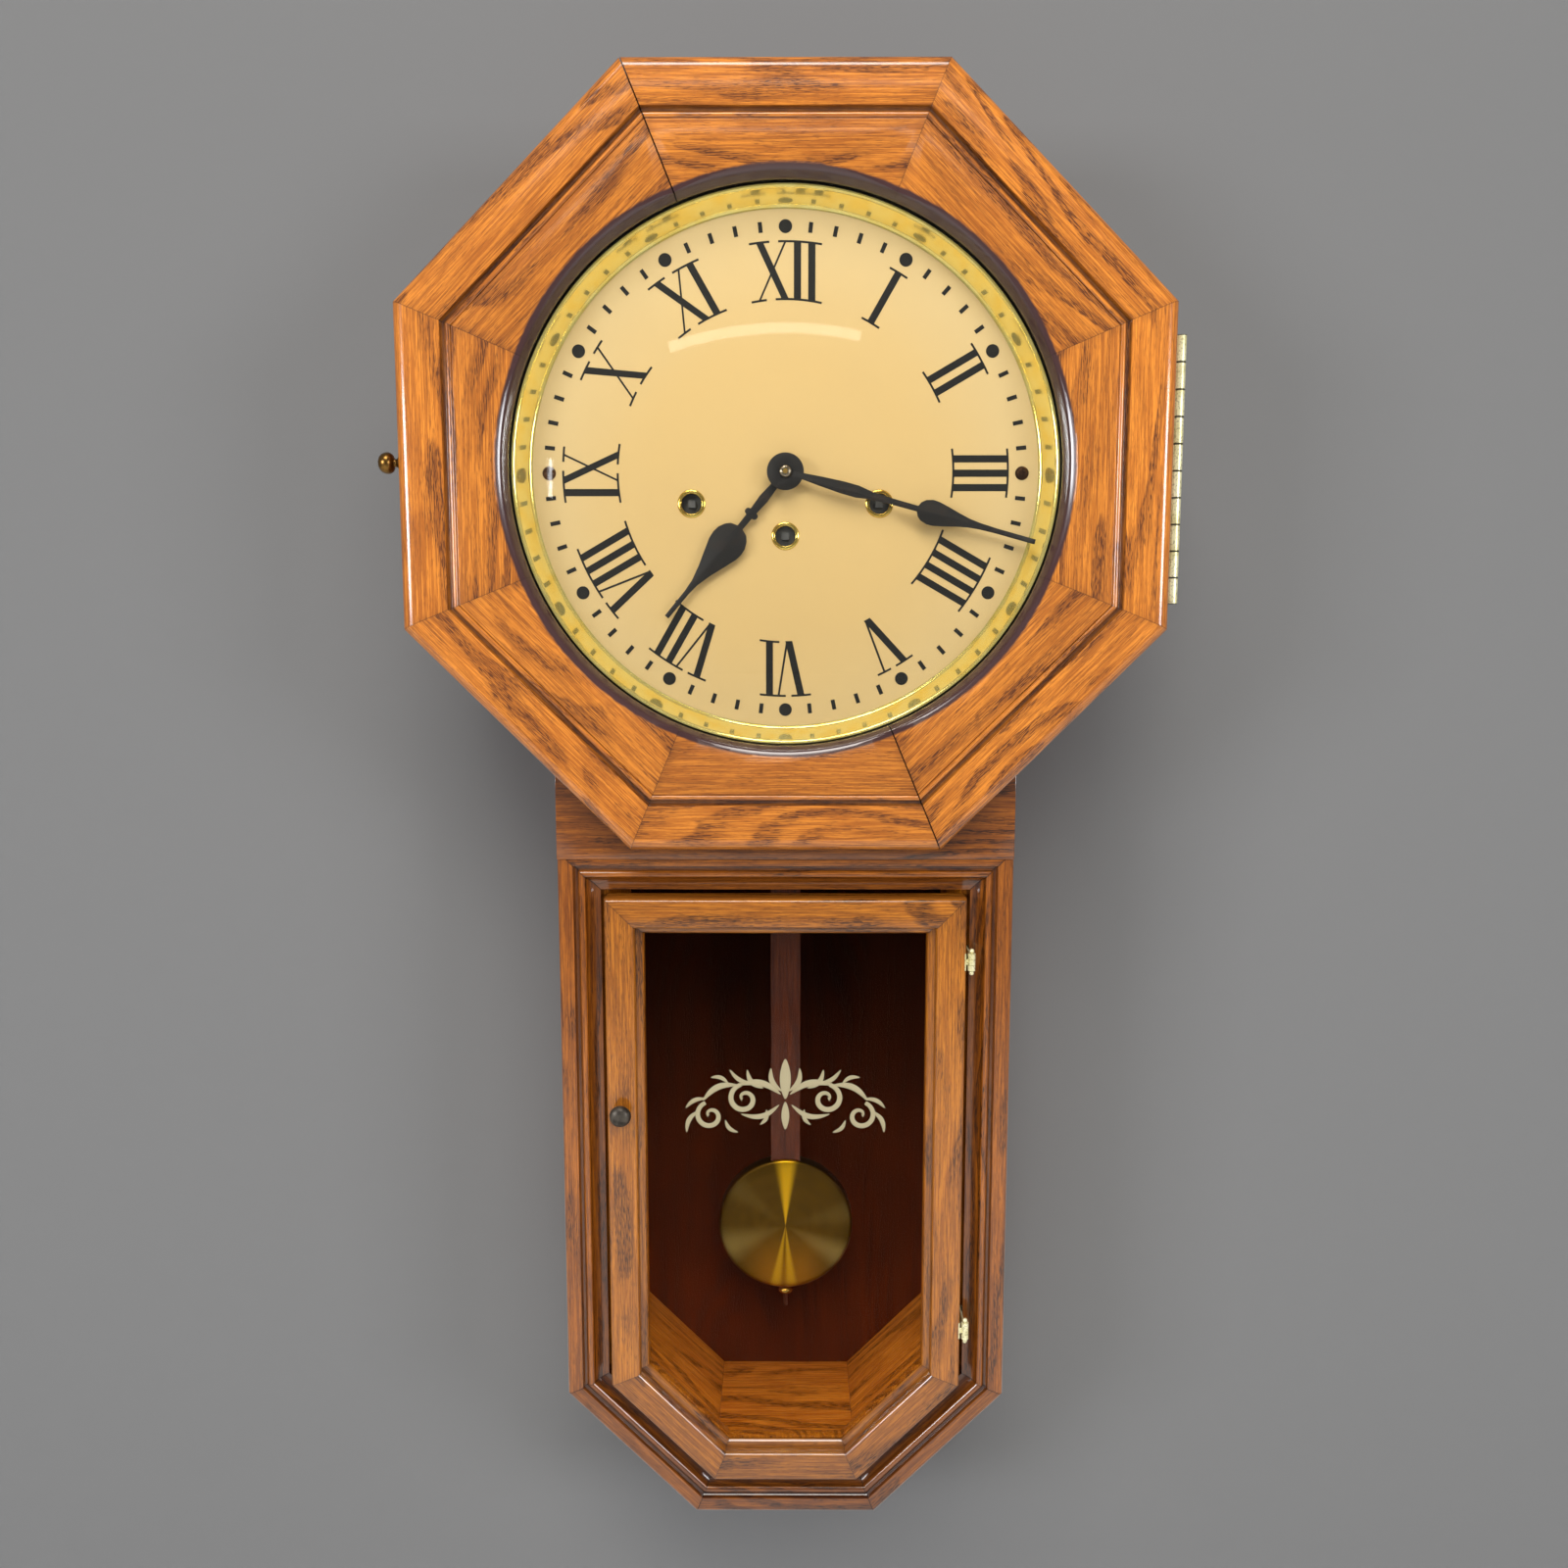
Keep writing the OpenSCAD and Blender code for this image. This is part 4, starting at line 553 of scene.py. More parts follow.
def islands(shape):
    """The separate solids of a shape, as lists of vertices, in the order of the shape's own vertices."""
    met, found = set(), []
    for first in shape.verts:
        if first in met:
            continue
        met.add(first)
        heap, group = [first], []
        while heap:
            v = heap.pop()
            group.append(v)
            for e in v.link_edges:
                other = e.other_vert(v)
                if other not in met:
                    met.add(other)
                    heap.append(other)
        found.append(group)
    return found


def grain_layers(shape):
    """Two layers on the vertices: the place in the board, and (near end, far end, stain and painted shade)."""
    layers = shape.verts.layers.float_vector
    return layers.get("grain") or layers.new("grain"), layers.get("edge") or layers.new("edge")


def mitred(outline, profile, stain_and_shade, tone_and_shade, logs, gap=0.1, wide=None, carve_with=None, trim=()):
    """Lengths of moulding round a closed outline of (x, z), clockwise from the front.

    The profile holds (depth y, distance in from the outer edge). Each length is cut to its mitres,
    then trimmed, carved and given the grain of its log; the stain function gives dark stain and painted
    shade, and each length's tone adds more painted shade, most on the lowest lengths. The joints stand open by twice
    the gap, or by the wide ones at their corners."""
    whole = new_shape()
    grain_layers(whole)
    count = len(outline)
    for i in range(count):
        before, start, end, after = (Vector(outline[(i + k) % count]) for k in (-1, 0, 1, 2))
        way = (end - start).normalized()
        length = (end - start).length
        turn = math.atan2(-way.y, way.x)
        middle = (start + end) / 2
        into_place = Matrix.Translation((middle.x, 0, middle.y)) @ Matrix.Rotation(turn, 4, "Y")
        bar = new_shape()
        reach = length / 2 + 60
        verts = [bar.verts.new((-reach, y, -u)) for y, u in profile]
        face = bar.faces.new(verts)
        grown = bmesh.ops.extrude_face_region(bar, geom=[face])
        far_end = [g for g in grown["geom"] if isinstance(g, bmesh.types.BMVert)]
        bmesh.ops.translate(bar, vec=(2 * reach, 0, 0), verts=far_end)
        bmesh.ops.transform(bar, matrix=into_place, verts=bar.verts)
        cuts = []
        for corner, other_way, sign in (
            (start, (start - before).normalized(), -1),
            (end, (after - end).normalized(), 1),
        ):
            across = (way + other_way).normalized()
            normal = Vector((across.x, 0, across.y)) * sign
            corner_gap = wide.get((i if sign < 0 else (i + 1) % count), gap) if wide else gap
            cuts.append((Vector((corner.x, 0, corner.y)) - normal * corner_gap, normal))
        for point, normal in cuts + list(trim):
            bmesh.ops.bisect_plane(
                bar, geom=bar.verts[:] + bar.edges[:] + bar.faces[:], plane_co=point, plane_no=normal, clear_outer=True
            )
            rim = [e for e in bar.edges if e.is_boundary]
            if rim:
                bmesh.ops.edgeloop_fill(bar, edges=rim)
        bmesh.ops.recalc_face_normals(bar, faces=bar.faces)
        if carve_with:
            for cutter in carve_with(i):
                bar = carve(bar, cutter)
        into_board = Matrix.Rotation(-math.pi / 2, 4, "X") @ into_place.inverted()
        made = pour(bar, whole)
        grain, edge = grain_layers(whole)
        for v in made:
            spot = into_board @ v.co
            near, other = [(point - v.co).dot(normal) for point, normal in cuts]
            v[grain] = spot + Vector(logs[i])
            v[edge] = (near, other, stain_and_shade(-spot.y, -spot.z) + tone_and_shade[i])
    return whole


def arc(centre_y, centre_u, radius_y, radius_u, start, end, steps):
    """Points of (y, u) on a bow, the angle going from start to end in degrees."""
    made = []
    for k in range(steps + 1):
        a = math.radians(start + (end - start) * k / steps)
        made.append((centre_y - radius_y * math.sin(a), centre_u - radius_u * math.cos(a)))
    return made


# Hood door moulding: rounded edge, flat band, quirk, bead, sloping band, turned-in opening

# g is where the quirk begins, in from the outer edge, and f the front face of each frame
g = 27.5
inner_u = DOOR_A - OPENING_R * math.cos(HALF_SIDE_ANGLE) + 1
f = DOOR_FRONT
door_profile = (
    arc(f + 7.5, 7.5, 7.5, 7.5, 0, 90, 12)
    + [(f, g - 0.5), (f + 0.15, g - 0.1), (f + 0.7, g + 0.15)]
    + [(f + 2.6, g + 0.4), (f + 3.05, g + 0.8), (f + 3.2, g + 1.5), (f + 3.05, g + 2.4), (f + 2.8, g + 2.75)]
    + arc(f + 1.9, g + 4.6, 1.6, 1.7, 0, 180, 10)
    + [(f + 1.6, g + 6.4), (f + 0.95, g + 6.7), (f + 0.8 + 0.13 * 0.6, g + 7.1)]
    + [(f + 0.8 + 0.13 * (inner_u - g - 6.5), inner_u), (DOOR_BACK, inner_u), (DOOR_BACK, 0)]
)


def ramp_between(value, low, high):
    """0 below low, 1 above high, smooth between."""
    t = min(1.0, max(0.0, (value - low) / (high - low)))
    return t * t * (3 - 2 * t)


def hood_stain_and_shade(u, y):
    """Dark stain and painted shade in the quirk, painted shade along the bead's foot, a little darker on the sloping
    band, and 0.25 on the faces behind; u in from the outer edge and y back.
    """
    if y > DOOR_FRONT + 9.5 and u < 60:
        return 0.25
    quirk = ramp_between(u, g - 0.3, g + 0.8) * (1 - ramp_between(u, g + 2.6, g + 4.0))
    foot = ramp_between(u, g + 5.2, g + 6.4) * (1 - ramp_between(u, g + 6.9, g + 7.3))
    return 0.68 * quirk + 0.2 * foot + 0.1 * ramp_between(u, g + 6.5, g + 8)


opening_profile = [(0, f - 1), (169.6, f - 1), (169.2, f + 3.1), (168.6, f + 3.45), (168.0, f + 3.75), (167.0, f + 4.2)]
opening_profile += [(166.0, f + 4.65), (165.0, f + 5.15), (164.3, f + 5.65), (163.7, f + 6.5), (163.1, f + 8.0)]
opening_profile += [(162.5, f + 9.6), (161.9, f + 11.2), (161.5, f + 12.6)]
opening_profile += [
    (OPENING_R, REBATE_Y), (OPENING_R + 5.5, REBATE_Y), (OPENING_R + 5.5, DOOR_BACK + 1), (0, DOOR_BACK + 1)
]


def opening_cutter():
    """The round opening with its rolled edge and the rebate behind it."""
    cutter = new_shape()
    turned(cutter, opening_profile, steps=224, closed=False)
    return cutter


def octagon(a):
    """Corners clockwise from the top side's left end, so side 0 is the top and side 2 the right."""
    r = a / math.cos(HALF_SIDE_ANGLE)
    turns = [HALF_SIDE_ANGLE * (2 * i - 1) for i in range(8)]
    return [(r * math.sin(turn), r * math.cos(turn)) for turn in turns]


def hood_cutters(i):
    """The opening, and on the right side the sinking for the long hinge."""
    cutters = [opening_cutter()]
    if i == 2:
        cutters.append(box_shape(CASE_A - 16, 400, DOOR_BACK - 1, DOOR_BACK + 1, -HINGE_HALF, HINGE_HALF))
    return cutters


hood = mitred(
    octagon(DOOR_A), door_profile, hood_stain_and_shade,
    # Each length's tone adds painted shade, most on the bottom length
    tone_and_shade=[0.04, 0.03, 0.0, 0.06, 0.14, 0.0, 0.0, 0.08],
    logs=[
        (140, 96, 58), (-610, 84, 46), (420, 120, 60), (-90, 74, 52), (730, 110, 70), (300, 60, 42), (-380, 128, 44),
        (20, 58, 40),
    ],
    gap=0.015, wide={0: 0.32, 4: 0.3}, carve_with=hood_cutters,
)
piece("hood_door_moulding", hood, "hood_door", hood_oak, replaces=["hood_moulding"], sharp=28)

# Trunk front: six mitred lengths with an edge round, groove, bead and cove

f = FRAME_FRONT
frame_profile = (
    arc(f + 3, 3, 3, 3, 0, 90, 8)
    + [(f, 9.4), (f + 0.15, 9.75), (f + 0.6, 9.9), (f + 2.7, 10.15), (f + 3.25, 10.7), (f + 3.4, 11.5)]
    + [(f + 3.25, 12.3), (f + 3.0, 12.75)]
    + arc(f + 2.6, 15.1, 2.2, 2.3, 0, 180, 12)
    + [
        (f + 1.6 + 5.4 * math.sin(math.radians(a)), 17.6 + 8.4 * (1 - math.cos(math.radians(a))))
        for a in range(0, 91, 8)
    ]
    + [(f + 19, 26.0), (f + 19, 0)]
)


def frame_stain_and_shade(u, y):
    """Dark stain and painted shade in the groove, and painted shade in the cove that grows the deeper it goes."""
    groove = ramp_between(u, 9.6, 10.4) * (1 - ramp_between(u, 12.4, 13.6))
    cove = ramp_between(u, 17.0, 21.0) * 0.42
    deep = 0.5 * ramp_between(y, FRAME_FRONT + 7.0, FRAME_FRONT + 9.0)
    return 0.52 * groove + cove + deep


def long_hexagon(half, top, foot, leg):
    """A trunk outline, clockwise from the top left; leg is what a slant takes off a lower corner each way."""
    return [
        (-half, top), (half, top), (half, foot + leg), (half - leg, foot), (leg - half, foot), (-half, foot + leg),
    ]


trunk = mitred(
    long_hexagon(TRUNK_HALF, TRUNK_TOP, TRUNK_FOOT, TRUNK_LEG), frame_profile, frame_stain_and_shade,
    # The tones add painted shade, most on the slants and the bottom length
    tone_and_shade=[0.05, 0.08, 0.36, 0.46, 0.36, 0.08],
    logs=[(60, 100, 60), (-300, 84, 52), (500, 60, 44), (-700, 106, 66), (220, 52, 50), (810, 90, 58)],
    trim=[(Vector((0, 0, HEAD_JOINT)), Vector((0, 0, 1)))],
)
piece("trunk_front_frame", trunk, "case", trunk_oak, replaces=["trunk_frame"], sharp=28)

# Trunk door: frame with a ledge and an inner lip, rebated behind for the pane

f = TDOOR_FRONT
rail_profile = (
    arc(f + 2.4, 2.4, 2.4, 2.4, 0, 90, 6)
    + [(f, 16.9), (f + 0.12, 17.25), (f + 0.72, 17.85), (f + 1.3, 18.35), (f + 1.6, 18.5)]
    + [(f + 7.3, 18.5), (f + 7.8, 18.7), (f + 8.0, 19.1), (f + 8.0, 21.7), (f + 8.1, 22.05), (f + 8.65, 22.6)]
    + [(f + 9.2, 23.1), (f + 9.5, 23.2), (f + 10, 23.2), (f + 10, 18.5), (f + 19, 18.5), (f + 19, 0)]
)


def rail_stain_and_shade(u, y):
    """Painted shade where the lip meets the ledge, and a little darker at the outer edge."""
    corner = ramp_between(u, 18.2, 18.6) * (1 - ramp_between(u, 19.0, 20.0))
    corner *= ramp_between(y, TDOOR_FRONT + 6.0, TDOOR_FRONT + 7.6)
    return 0.2 * corner + 0.12 * (1 - ramp_between(u, 0.0, 3.5))


def rail_cutters(i):
    """On the right side, the notches for the two small hinges."""
    if i != 1:
        return []
    return [
        box_shape(TDOOR_HALF - 1.1, 130, TDOOR_FRONT - 1, TDOOR_FRONT + 13, z - 5.5, z + 5.5) for z in SMALL_HINGES
    ]


door = mitred(
    long_hexagon(TDOOR_HALF, TDOOR_TOP, TDOOR_FOOT, TDOOR_LEG), rail_profile, rail_stain_and_shade,
    # The tones add painted shade, most on the slants and the bottom length
    tone_and_shade=[0.05, 0.0, 0.2, 0.36, 0.2, 0.02],
    logs=[(0, 48, 50), (900, 66, 40), (250, 20, 46), (-440, 30, 52), (610, 12, 48), (-150, 60, 44)],
    gap=0.03, carve_with=rail_cutters,
)
piece("trunk_door_frame", door, "trunk_door", door_oak, replaces=["door_frame"], sharp=28)

# Boards of the case, each with its own grain


def case_boards(node, soft, lie, log_of, margin, room_side=0.0):
    """A node's boards with rounded edges. lie gives each board's turn in degrees from its middle."""
    shape = copy_of(node)
    soften(shape, soft)
    grain, edge = grain_layers(shape)
    for group in islands(shape):
        middle = sum((v.co for v in group), Vector()) / len(group)
        flat = Matrix.Rotation(math.radians(-lie(middle)), 4, "Y")
        spots = [flat @ v.co for v in group]
        x0, x1 = min(s.x for s in spots), max(s.x for s in spots)
        low, top = min(s.z for s in spots), max(s.z for s in spots)
        log = log_of(low)
        for v, spot in zip(group, spots):
            v[grain] = spot + log
            v[edge] = (spot.x - x0 + margin, x1 - spot.x + margin, room_side if spot.z > top - 1.5 else 0.0)
    return shape


def stave_log(low):
    return Vector((chance.uniform(-900, 900), chance.uniform(20, 60), -low + chance.uniform(30, 60)))


def panel_log(low):
    return Vector((chance.uniform(-900, 900), chance.uniform(30, 60), -low + 40))


def panel_turn(middle):
    """The two sides stand upright, the two slanted panels lean by an eighth of a turn, and the floor lies flat."""
    out = abs(middle.x)
    return math.copysign(90 if out > 100 else 135, middle.x) if out > 30 else 180


def board_of(node, along, soft=0.4):
    """One plain length, with along giving the place in the board."""
    shape = copy_of(node)
    soften(shape, soft)
    grain, edge = grain_layers(shape)
    for v in shape.verts:
        v[grain] = along(v.co)
        # Painted shade: the 0.3 darkens these plain lengths, the head board as if in the hood's shadow
        v[edge] = (99, 99, 0.3)
    return shape


staves = case_boards(
    "hood_staves", 0.35, lambda middle: round(math.degrees(math.atan2(middle.x, middle.z)) / 45) * 45, stave_log, 3
)
piece("hood_case_staves", staves, "case", case_oak, replaces=["hood_staves"])
panels = case_boards("trunk_panels", 0.3, panel_turn, panel_log, 4, ROOM_SIDE)
piece("trunk_case_panels", panels, "case", inner_oak, replaces=["trunk_panels"])
head = board_of("head_board", lambda co: (co.x + 333, co.z + 190, co.y + 165))
piece("head_board_front", head, "case", trunk_oak, replaces=["head_board"])
beads = board_of("glass_beads", lambda co: (co.z, co.x + 40, co.y + 170))
piece("pane_beads", beads, "trunk_door", inner_oak, replaces=["glass_beads"])


def dress(look, *names):
    """Gives CAD nodes their finish, with their own meshes."""
    for name in names:
        thing = nodes[name]
        if not thing.material_slots:
            thing.data.materials.append(None)
        for slot in thing.material_slots:
            slot.material = look


dress(back_oak, "back_board")
dress(seat_oak, "seat_board")
dress(rail_oak, "dial_battens")
dress(
    works_brass, "hanger_plate", "front_plate", "back_plate", "centre_arbor", "hour_wheel", "minute_wheel",
    "third_wheel", "escape_wheel", "time_barrel", "strike_barrel", "chime_barrel", "strike_wheel", "chime_wheel",
    "strike_fly", "chime_fly", "suspension_cock", "pendulum_leader",
)
dress(
    works_steel, "plate_pillars", "hammer_bracket", "chime_rods", "anchor", "time_winding", "strike_winding",
    "chime_winding", "time_click", "strike_click", "chime_click", "hammer_1", "hammer_2", "hammer_3", "hammer_4",
)

# Dial, ring and glass

dress(dial_cream, "dial_pan")
dress(dial_ink, "dial_marks")
dress(retainer_black, "glass_retainer")

DOME_RISE, GLASS_R, GLASS_T = 12, 166.5, 2
dome_radius = (OPENING_R**2 + DOME_RISE**2) / (2 * DOME_RISE)


def dome_y(r, back):
    return REBATE_Y - DOME_RISE + back + dome_radius - math.sqrt(dome_radius**2 - r * r)


dome = new_shape()
radii = [GLASS_R * k / 40 for k in range(41)]
turned(
    dome, [(r, dome_y(r, 0)) for r in radii] + [(r, dome_y(r, GLASS_T)) for r in reversed(radii)],
    steps=160, closed=False,
)
piece("convex_glass", dome, "hood_door", dome_glass, replaces=["dial_glass"], sharp=50)

ring = new_shape()
turned(
    ring,
    [(150.7, -123.6), (151.4, -123.6), (153.9, -124.9), (154.1, -125.4), (159.1, -135.7), (160.9, -135.9)]
    + [(160.9, -136.75), (160.55, -137.1), (160.1, -137.1), (159.6, -136.95), (159.1, -136.7), (158.7, -136.4)]
    + [(158.3, -135.9), (158.05, -135.3), (155.6, -130.5), (153.3, -125.8), (153.0, -125.3), (152.5, -124.7)]
    + [(151.9, -124.3), (151.3, -124.05), (150.7, -123.95)],
    steps=200,
)
piece("brass_reflector", ring, "case", ring_brass, replaces=["reflector_ring"], sharp=40)

grommets = new_shape()
grommet_profile = [
    (6.0, 2.5), (6.0, -0.35), (6.12, -0.62), (6.4, -0.82), (6.8, -0.9), (7.3, -0.82), (7.9, -0.62), (8.25, -0.4),
    (8.4, -0.05), (7.38, 0.0), (7.38, 2.5),
]
for spot in ((-56.2, -17.8), (0.0, -36.8), (56.2, -17.8)):
    turned(grommets, [(r, DIAL_FACE + y) for r, y in grommet_profile], centre=spot, steps=48)
piece("winding_rings", grommets, "case", grommet_brass, replaces=["winding_grommets"], sharp=45)

screws = copy_of("dial_screws")
soften(screws, 0.12, angle=40)
piece("dial_cross_screws", screws, "case", screw_steel, replaces=["dial_screws"])

# Hands

for node, body in (("minute_hand", "minute_arbor"), ("hour_hand", "hour_pipe")):
    hand = copy_of(node)
    soften(hand, 0.16, angle=50)
    piece(node + "_black", hand, body, hand_black, replaces=[node], sharp=40)

# Knobs and hinges


def turned_along_x(outline, at):
    """A turned knob whose axis points to -X, from (radius, distance out)."""
    made = new_shape()
    turned(made, [(r, -l) for r, l in outline], steps=64, closed=False)
    whole = new_shape()
    pour(made, whole, Matrix.Translation(at) @ Matrix.Rotation(math.radians(-90), 4, "Z"))
    bmesh.ops.recalc_face_normals(whole, faces=whole.faces)
    return whole


knob = turned_along_x(
    [(0, 0), (3.9, 0), (4.0, 0.3), (4.0, 0.6), (3.6, 0.95), (2.7, 1.5), (2.35, 2.2), (2.3, 3.2), (2.6, 3.7), (3.8, 4.1)]
    + [(4.6, 4.4), (5.4, 5.2), (6.0, 6.2), (6.15, 7.0), (6.15, 8.0), (5.95, 9.2), (5.3, 10.6), (4.3, 11.7)]
    + [(3.0, 12.4), (1.5, 12.75), (0, 12.8)],
    (-DOOR_A, DOOR_FRONT + 11, 3.5),
)
piece("hood_pull_knob", knob, "hood_door", knob_brass, replaces=["hood_knob"], sharp=50)

pull = new_shape()
pull_profile = [
    (0, 0), (3.6, 0), (3.55, 0.6), (3.3, 1.5), (2.6, 2.4), (2.35, 3.5), (2.6, 4.5), (3.8, 4.9), (5.2, 5.2), (6.2, 5.9),
    (6.65, 6.8), (6.65, 7.4), (6.4, 8.5), (5.7, 9.6), (4.5, 10.5), (2.7, 11.1), (0, 11.3),
]
turned(
    pull, [(r, TDOOR_FRONT - out) for r, out in pull_profile], centre=(-TDOOR_HALF + 9.25, -391.0), steps=64,
    closed=False,
)
piece("trunk_door_pull", pull, "trunk_door", knob_bronze, replaces=["door_knob"], sharp=50)

for node, name, body in (
    ("case_fittings", "case_hinge_halves", "case"),
    ("hood_door_fittings", "hood_hinge_half", "hood_door"),
    ("trunk_door_fittings", "trunk_hinge_halves", "trunk_door"),
):
    fitting = copy_of(node)
    soften(fitting, 0.18, angle=45, segments=1)
    piece(name, fitting, body, hinge_brass, replaces=[node], sharp=35)

# Pane and its painted scrollwork

dress(pane_glass, "door_glass")


def stroke(points, widths, y):
    """A painted stroke: a swept round that is then pressed flat against the glass."""
    line = bpy.data.curves.new("stroke", "CURVE")
    line.dimensions, line.bevel_depth, line.bevel_resolution, line.use_fill_caps = "3D", 1.0, 2, True
    run = line.splines.new("POLY")
    run.points.add(len(points) - 1)
    for point, (x, z), width in zip(run.points, points, widths):
        point.co, point.radius = (x, 0, z, 1), width / 2
    holder = bpy.data.objects.new("stroke", line)
    bpy.context.scene.collection.objects.link(holder)
    mesh = bpy.data.meshes.new_from_object(holder.evaluated_get(bpy.context.evaluated_depsgraph_get()))
    made = new_shape()
    made.from_mesh(mesh)
    bpy.data.objects.remove(holder)
    bpy.data.curves.remove(line)
    bpy.data.meshes.remove(mesh)
    bmesh.ops.scale(made, vec=(1, 0.06, 1), verts=made.verts)
    bmesh.ops.translate(made, vec=(0, y, 0), verts=made.verts)
    return made


def scroll(x, z, size, start, turns, lean, thick, steps=34):
    """A curl that winds in to its eye at (x, z)."""
    points, widths = [], []
    for k in range(steps + 1):
        t = k / steps
        a = math.radians(start) + lean * turns * math.tau * t
        r = size * (1 - t) ** 0.8 + size * 0.12 * t
        points.append((x + r * math.cos(a), z + r * math.sin(a)))
        eye = 0.55 if k == steps else 0
        widths.append(thick * (0.35 + 0.65 * math.sin(math.pi * min(1.0, 0.25 + 0.75 * t)) + eye))
    return points, widths


def bow(x0, z0, x1, z1, lift, thick, steps=24):
    """A stroke that swells in the middle and bows to one side."""
    points, widths = [], []
    for k in range(steps + 1):
        t = k / steps
        side = math.sin(math.pi * t) * lift
        dx, dz = x1 - x0, z1 - z0
        length = math.hypot(dx, dz)
        points.append((x0 + dx * t - dz / length * side, z0 + dz * t + dx / length * side))
        widths.append(thick * (0.12 + 0.88 * math.sin(math.pi * t) ** 0.8))
    return points, widths


scrollwork = new_shape()
SCROLL_Z, SCROLL_Y = -385.0, -125.33
half_scroll = [
    bow(3, 1, 30, 7, 4.5, 4.2), bow(4, -6, 28, -12, -4.5, 3.4), scroll(26, -2, 9.5, 78, 1.25, -1, 3.4),
    bow(30, 7, 52, -3, 4.0, 4.0), scroll(47.5, -13, 9.0, 70, 1.2, -1, 3.2), bow(14, 5, 24, 17, -3.0, 3.2),
    bow(20, 8, 35, 17, -2.5, 2.8), bow(36, 8, 47, 12, 2.0, 2.6), bow(50, -2, 63, -8, 2.2, 2.8),
    bow(55, -10, 62.5, -24, 2.5, 3.0), bow(38, -16, 30, -24, 2.0, 2.6), bow(12, -9, 16, -19, -2.0, 2.6),
]
middle_scroll = [
    bow(0, -2, 0, 24, 0.0, 7.0), bow(0, -4, 0, -22, 0.0, 5.0), bow(-2, 3, -9, 18, 3.0, 3.4),
    bow(2, 3, 9, 18, -3.0, 3.4),
]
for points, widths in half_scroll:
    for side in (1, -1):
        pour(stroke([(side * x, z + SCROLL_Z) for x, z in points], widths, SCROLL_Y), scrollwork)
for points, widths in middle_scroll:
    pour(stroke([(x, z + SCROLL_Z) for x, z in points], widths, SCROLL_Y), scrollwork)
bmesh.ops.recalc_face_normals(scrollwork, faces=scrollwork.faces)
piece("glass_scrollwork", scrollwork, "trunk_door", scroll_paint)

# Pendulum

dress(stick_wood, "pendulum_stick")
bob = new_shape()
front, back = SWING_Y - 7, SWING_Y + 7
bob_face = [
    (0, 0), (8, 0.03), (16, 0.1), (24, 0.25), (32.5, 0.5), (38, 0.75), (41.5, 0.95), (43.6, 1.15), (45, 1.4),
    (45.7, 1.7), (46.2, 2.2), (46.5, 3.2),
]
bob_back = [(46.5, back - 2), (46.2, back - 1.3), (45.5, back - 1), (0, back)]
turned(bob, [(r, front + y) for r, y in bob_face] + bob_back, centre=(0.0, BOB_Z), steps=128, closed=False)
# The slot that the stick passes through
bob = carve(bob, box_shape(-10.3, 10.3, SWING_Y - 3.2, SWING_Y + 3.2, -546.7, -456.5))
piece("brass_bob", bob, "pendulum", bob_brass, replaces=["pendulum_bob"], sharp=40)

nut = new_shape()
turned(
    nut,
    [(1.56, 0), (2.5, 0), (3.4, -0.45), (4.6, -1.1), (5.3, -1.9), (5.5, -2.6), (5.5, -3.4), (5.2, -4.1)]
    + [(4.3, -4.9), (3.0, -5.35), (2.2, -5.6), (1.56, -5.6)],
    steps=48,
)
upright = new_shape()
pour(nut, upright, Matrix.Translation((0, SWING_Y, BOB_Z - BOB_R - 0.5)) @ Matrix.Rotation(math.radians(90), 4, "X"))
bmesh.ops.recalc_face_normals(upright, faces=upright.faces)
piece("urn_rating_nut", upright, "bob_nut", nut_brass, replaces=["rating_nut"], sharp=45)

# Wall, floor, lamps and camera


def sheet(name, corners, look):
    """A flat sheet of the stage, in metres."""
    shape = new_shape()
    shape.faces.new([shape.verts.new(c) for c in corners])
    mesh = bpy.data.meshes.new(name)
    shape.to_mesh(mesh)
    shape.free()
    mesh.materials.append(look)
    made = bpy.data.objects.new(name, mesh)
    bpy.context.scene.collection.objects.link(made)
    return made


# The wall is painted darker towards the top: painted shade
wall_paint = backdrop("wall_paint", tint(114, 115, 116), 0.8)
floor_paint = backdrop("floor_paint", tint(214, 214, 212), 1.0)
# The wall lets the light behind it through, so that the back can be seen too
wall = sheet("wall", [(-3, 0.002, -1.3), (3, 0.002, -1.3), (3, 0.002, 2.5), (-3, 0.002, 2.5)], wall_paint)
wall.visible_diffuse = wall.visible_glossy = wall.visible_shadow = False
sheet("floor", [(-3, -4, -1.3), (3, -4, -1.3), (3, 3, -1.3), (-3, 3, -1.3)], floor_paint)


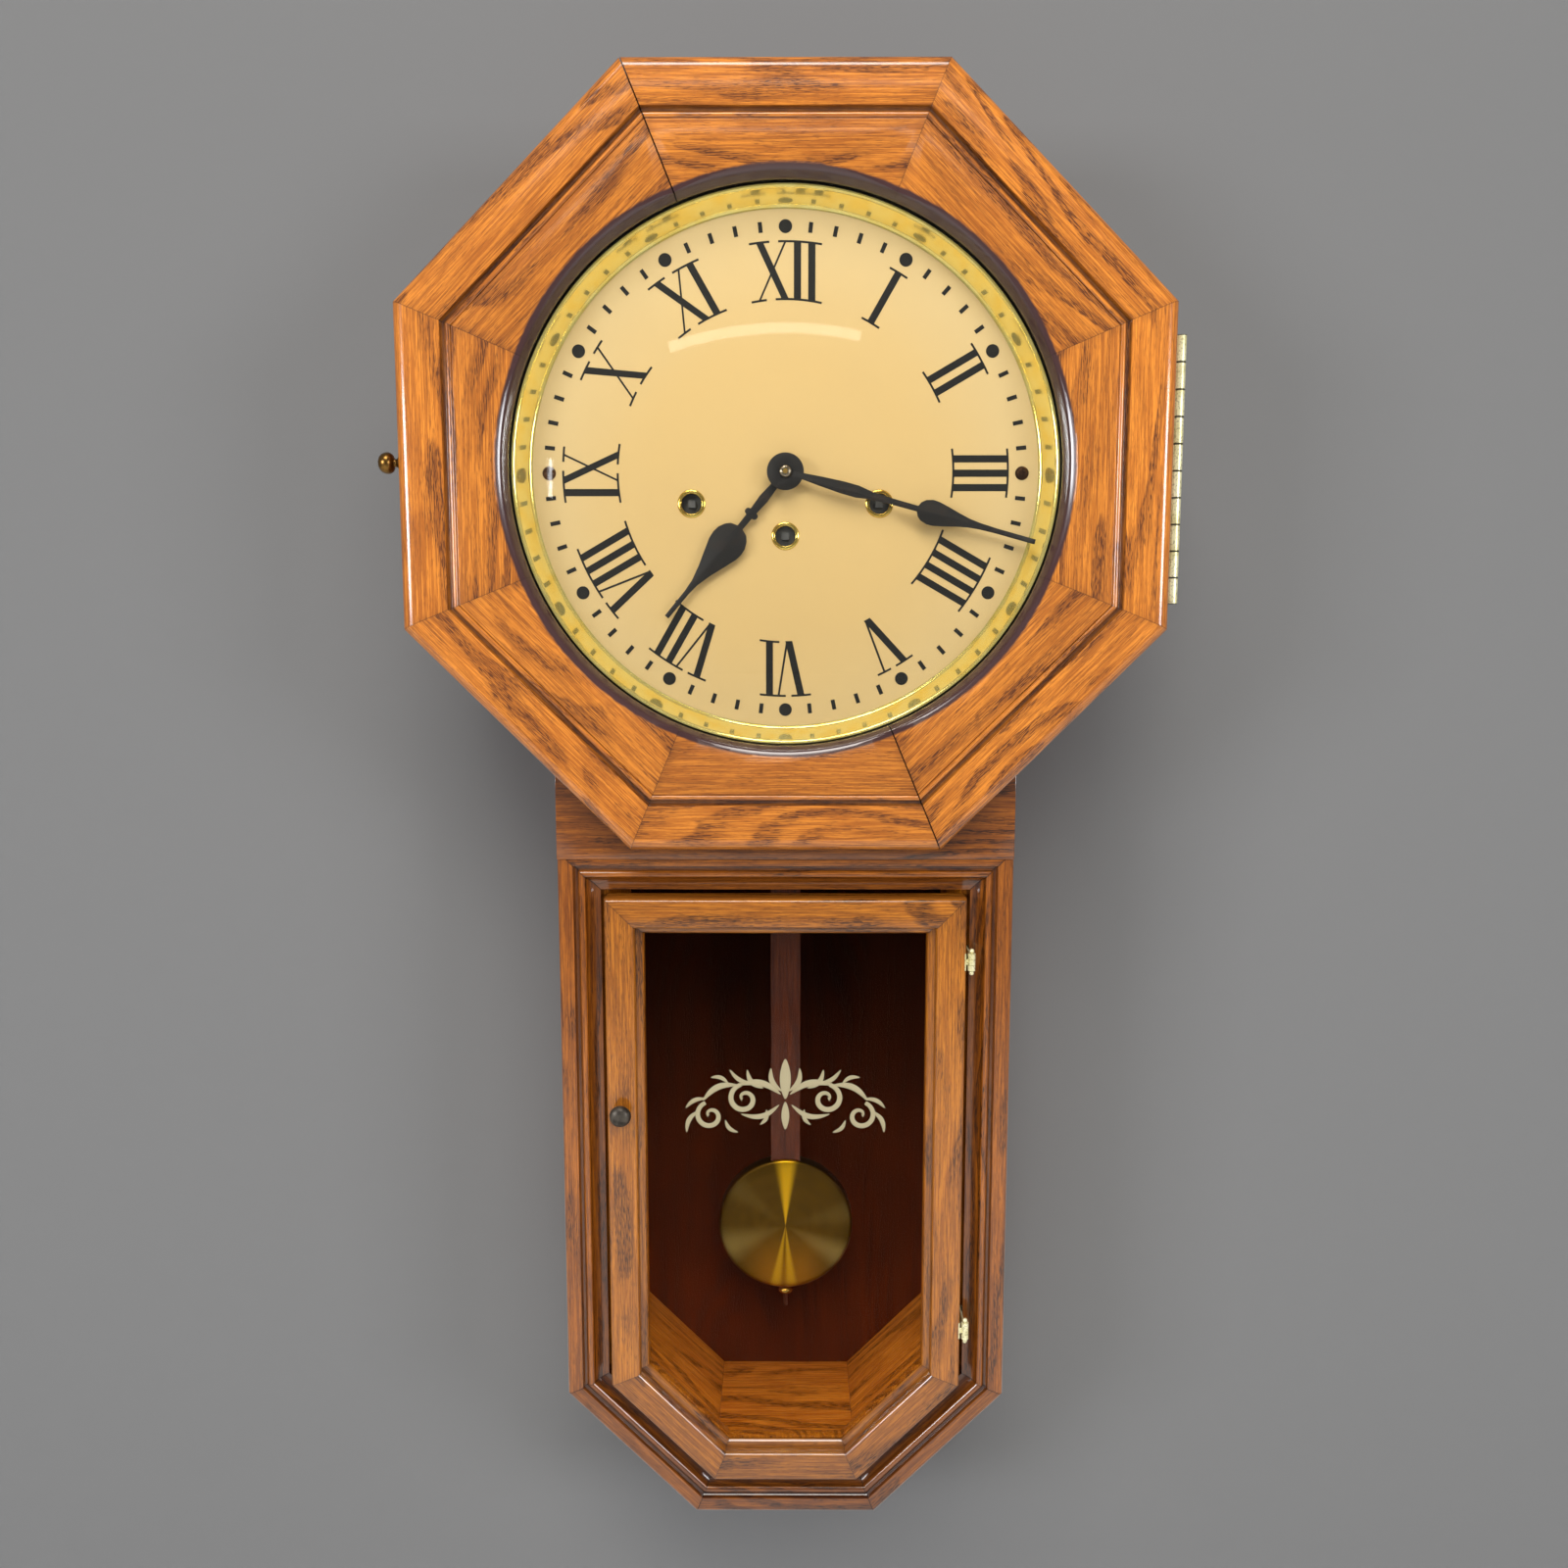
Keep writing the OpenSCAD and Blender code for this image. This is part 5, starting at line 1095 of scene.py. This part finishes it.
def lamp(name, at, aim, width, height, power, colour, mirrored=True, roll=0.0):
    """A flat lamp that points at aim; an unmirrored one lights the clock but doesn't show in glass and varnish."""
    light = bpy.data.lights.new(name, "AREA")
    light.shape, light.size, light.size_y, light.energy, light.color = "RECTANGLE", width, height, power, colour
    holder = bpy.data.objects.new(name, light)
    facing = (Vector(aim) - Vector(at)).to_track_quat("-Z", "Y").to_matrix()
    facing = facing @ Matrix.Rotation(math.radians(roll), 3, "Z")
    holder.location, holder.rotation_euler = at, facing.to_euler()
    holder.visible_glossy = mirrored
    bpy.context.scene.collection.objects.link(holder)


lamp("front_softbox", (0.2, -1.9, 0.9), (0, 0, -0.25), 1.4, 0.8, 30, (1.0, 0.955, 0.9), mirrored=False)
lamp("key_softbox", (-0.3, -1.6, 1.75), (0, 0, -0.4), 1.4, 0.8, 42, (1.0, 0.95, 0.88))
lamp("back_softbox", (0.3, 2.0, 0.7), (0, 0, -0.2), 1.4, 1.0, 24, (1.0, 0.97, 0.94), mirrored=False)
lamp("left_window", (-1.78, -1.9, 0.02), (-0.1, 0, -0.25), 0.85, 0.5, 30, (0.95, 0.96, 1.0))
lamp("right_window", (1.82, -1.9, 0.0), (0.1, 0, -0.25), 0.8, 0.55, 25, (0.96, 0.97, 1.0))
lamp("far_window", (-1.27, -2.6, 0.09), (0, 0, -0.2), 0.02, 0.2, 0.18, (0.9, 0.95, 1.0))
# A bowed tube of short lamps, which the convex glass mirrors above the dial's centre
for k in range(-5, 6):
    x = -0.11 + 0.087 * k
    lamp(
        "ceiling_light", (x, -2.5, 0.79 + 0.0045 * k - 0.0019 * k * k), (x, 0, -0.2), 0.088, 0.052, 0.066,
        (1.0, 0.95, 0.8), roll=3.0 - 2.5 * k,
    )

world = bpy.data.worlds.new("room")
bpy.context.scene.world = world
world.use_nodes = True
world.node_tree.nodes["Background"].inputs["Color"].default_value = (0.62, 0.62, 0.62, 1.0)
world.node_tree.nodes["Background"].inputs["Strength"].default_value = 0.36

eye = bpy.data.cameras.new("camera")
eye.sensor_fit, eye.sensor_width, eye.lens = "HORIZONTAL", 36.0, 36.0 * 1300 / 1600
eye.clip_start = 0.05
camera = bpy.data.objects.new("camera", eye)
camera.location = (0.0016, -0.9004, -0.2766)
camera.rotation_euler = (math.radians(90 - 6.98), 0.0, math.radians(0.18))
bpy.context.scene.collection.objects.link(camera)
bpy.context.scene.camera = camera
bpy.context.scene.view_settings.view_transform = "Standard"

bpy.context.view_layer.update()
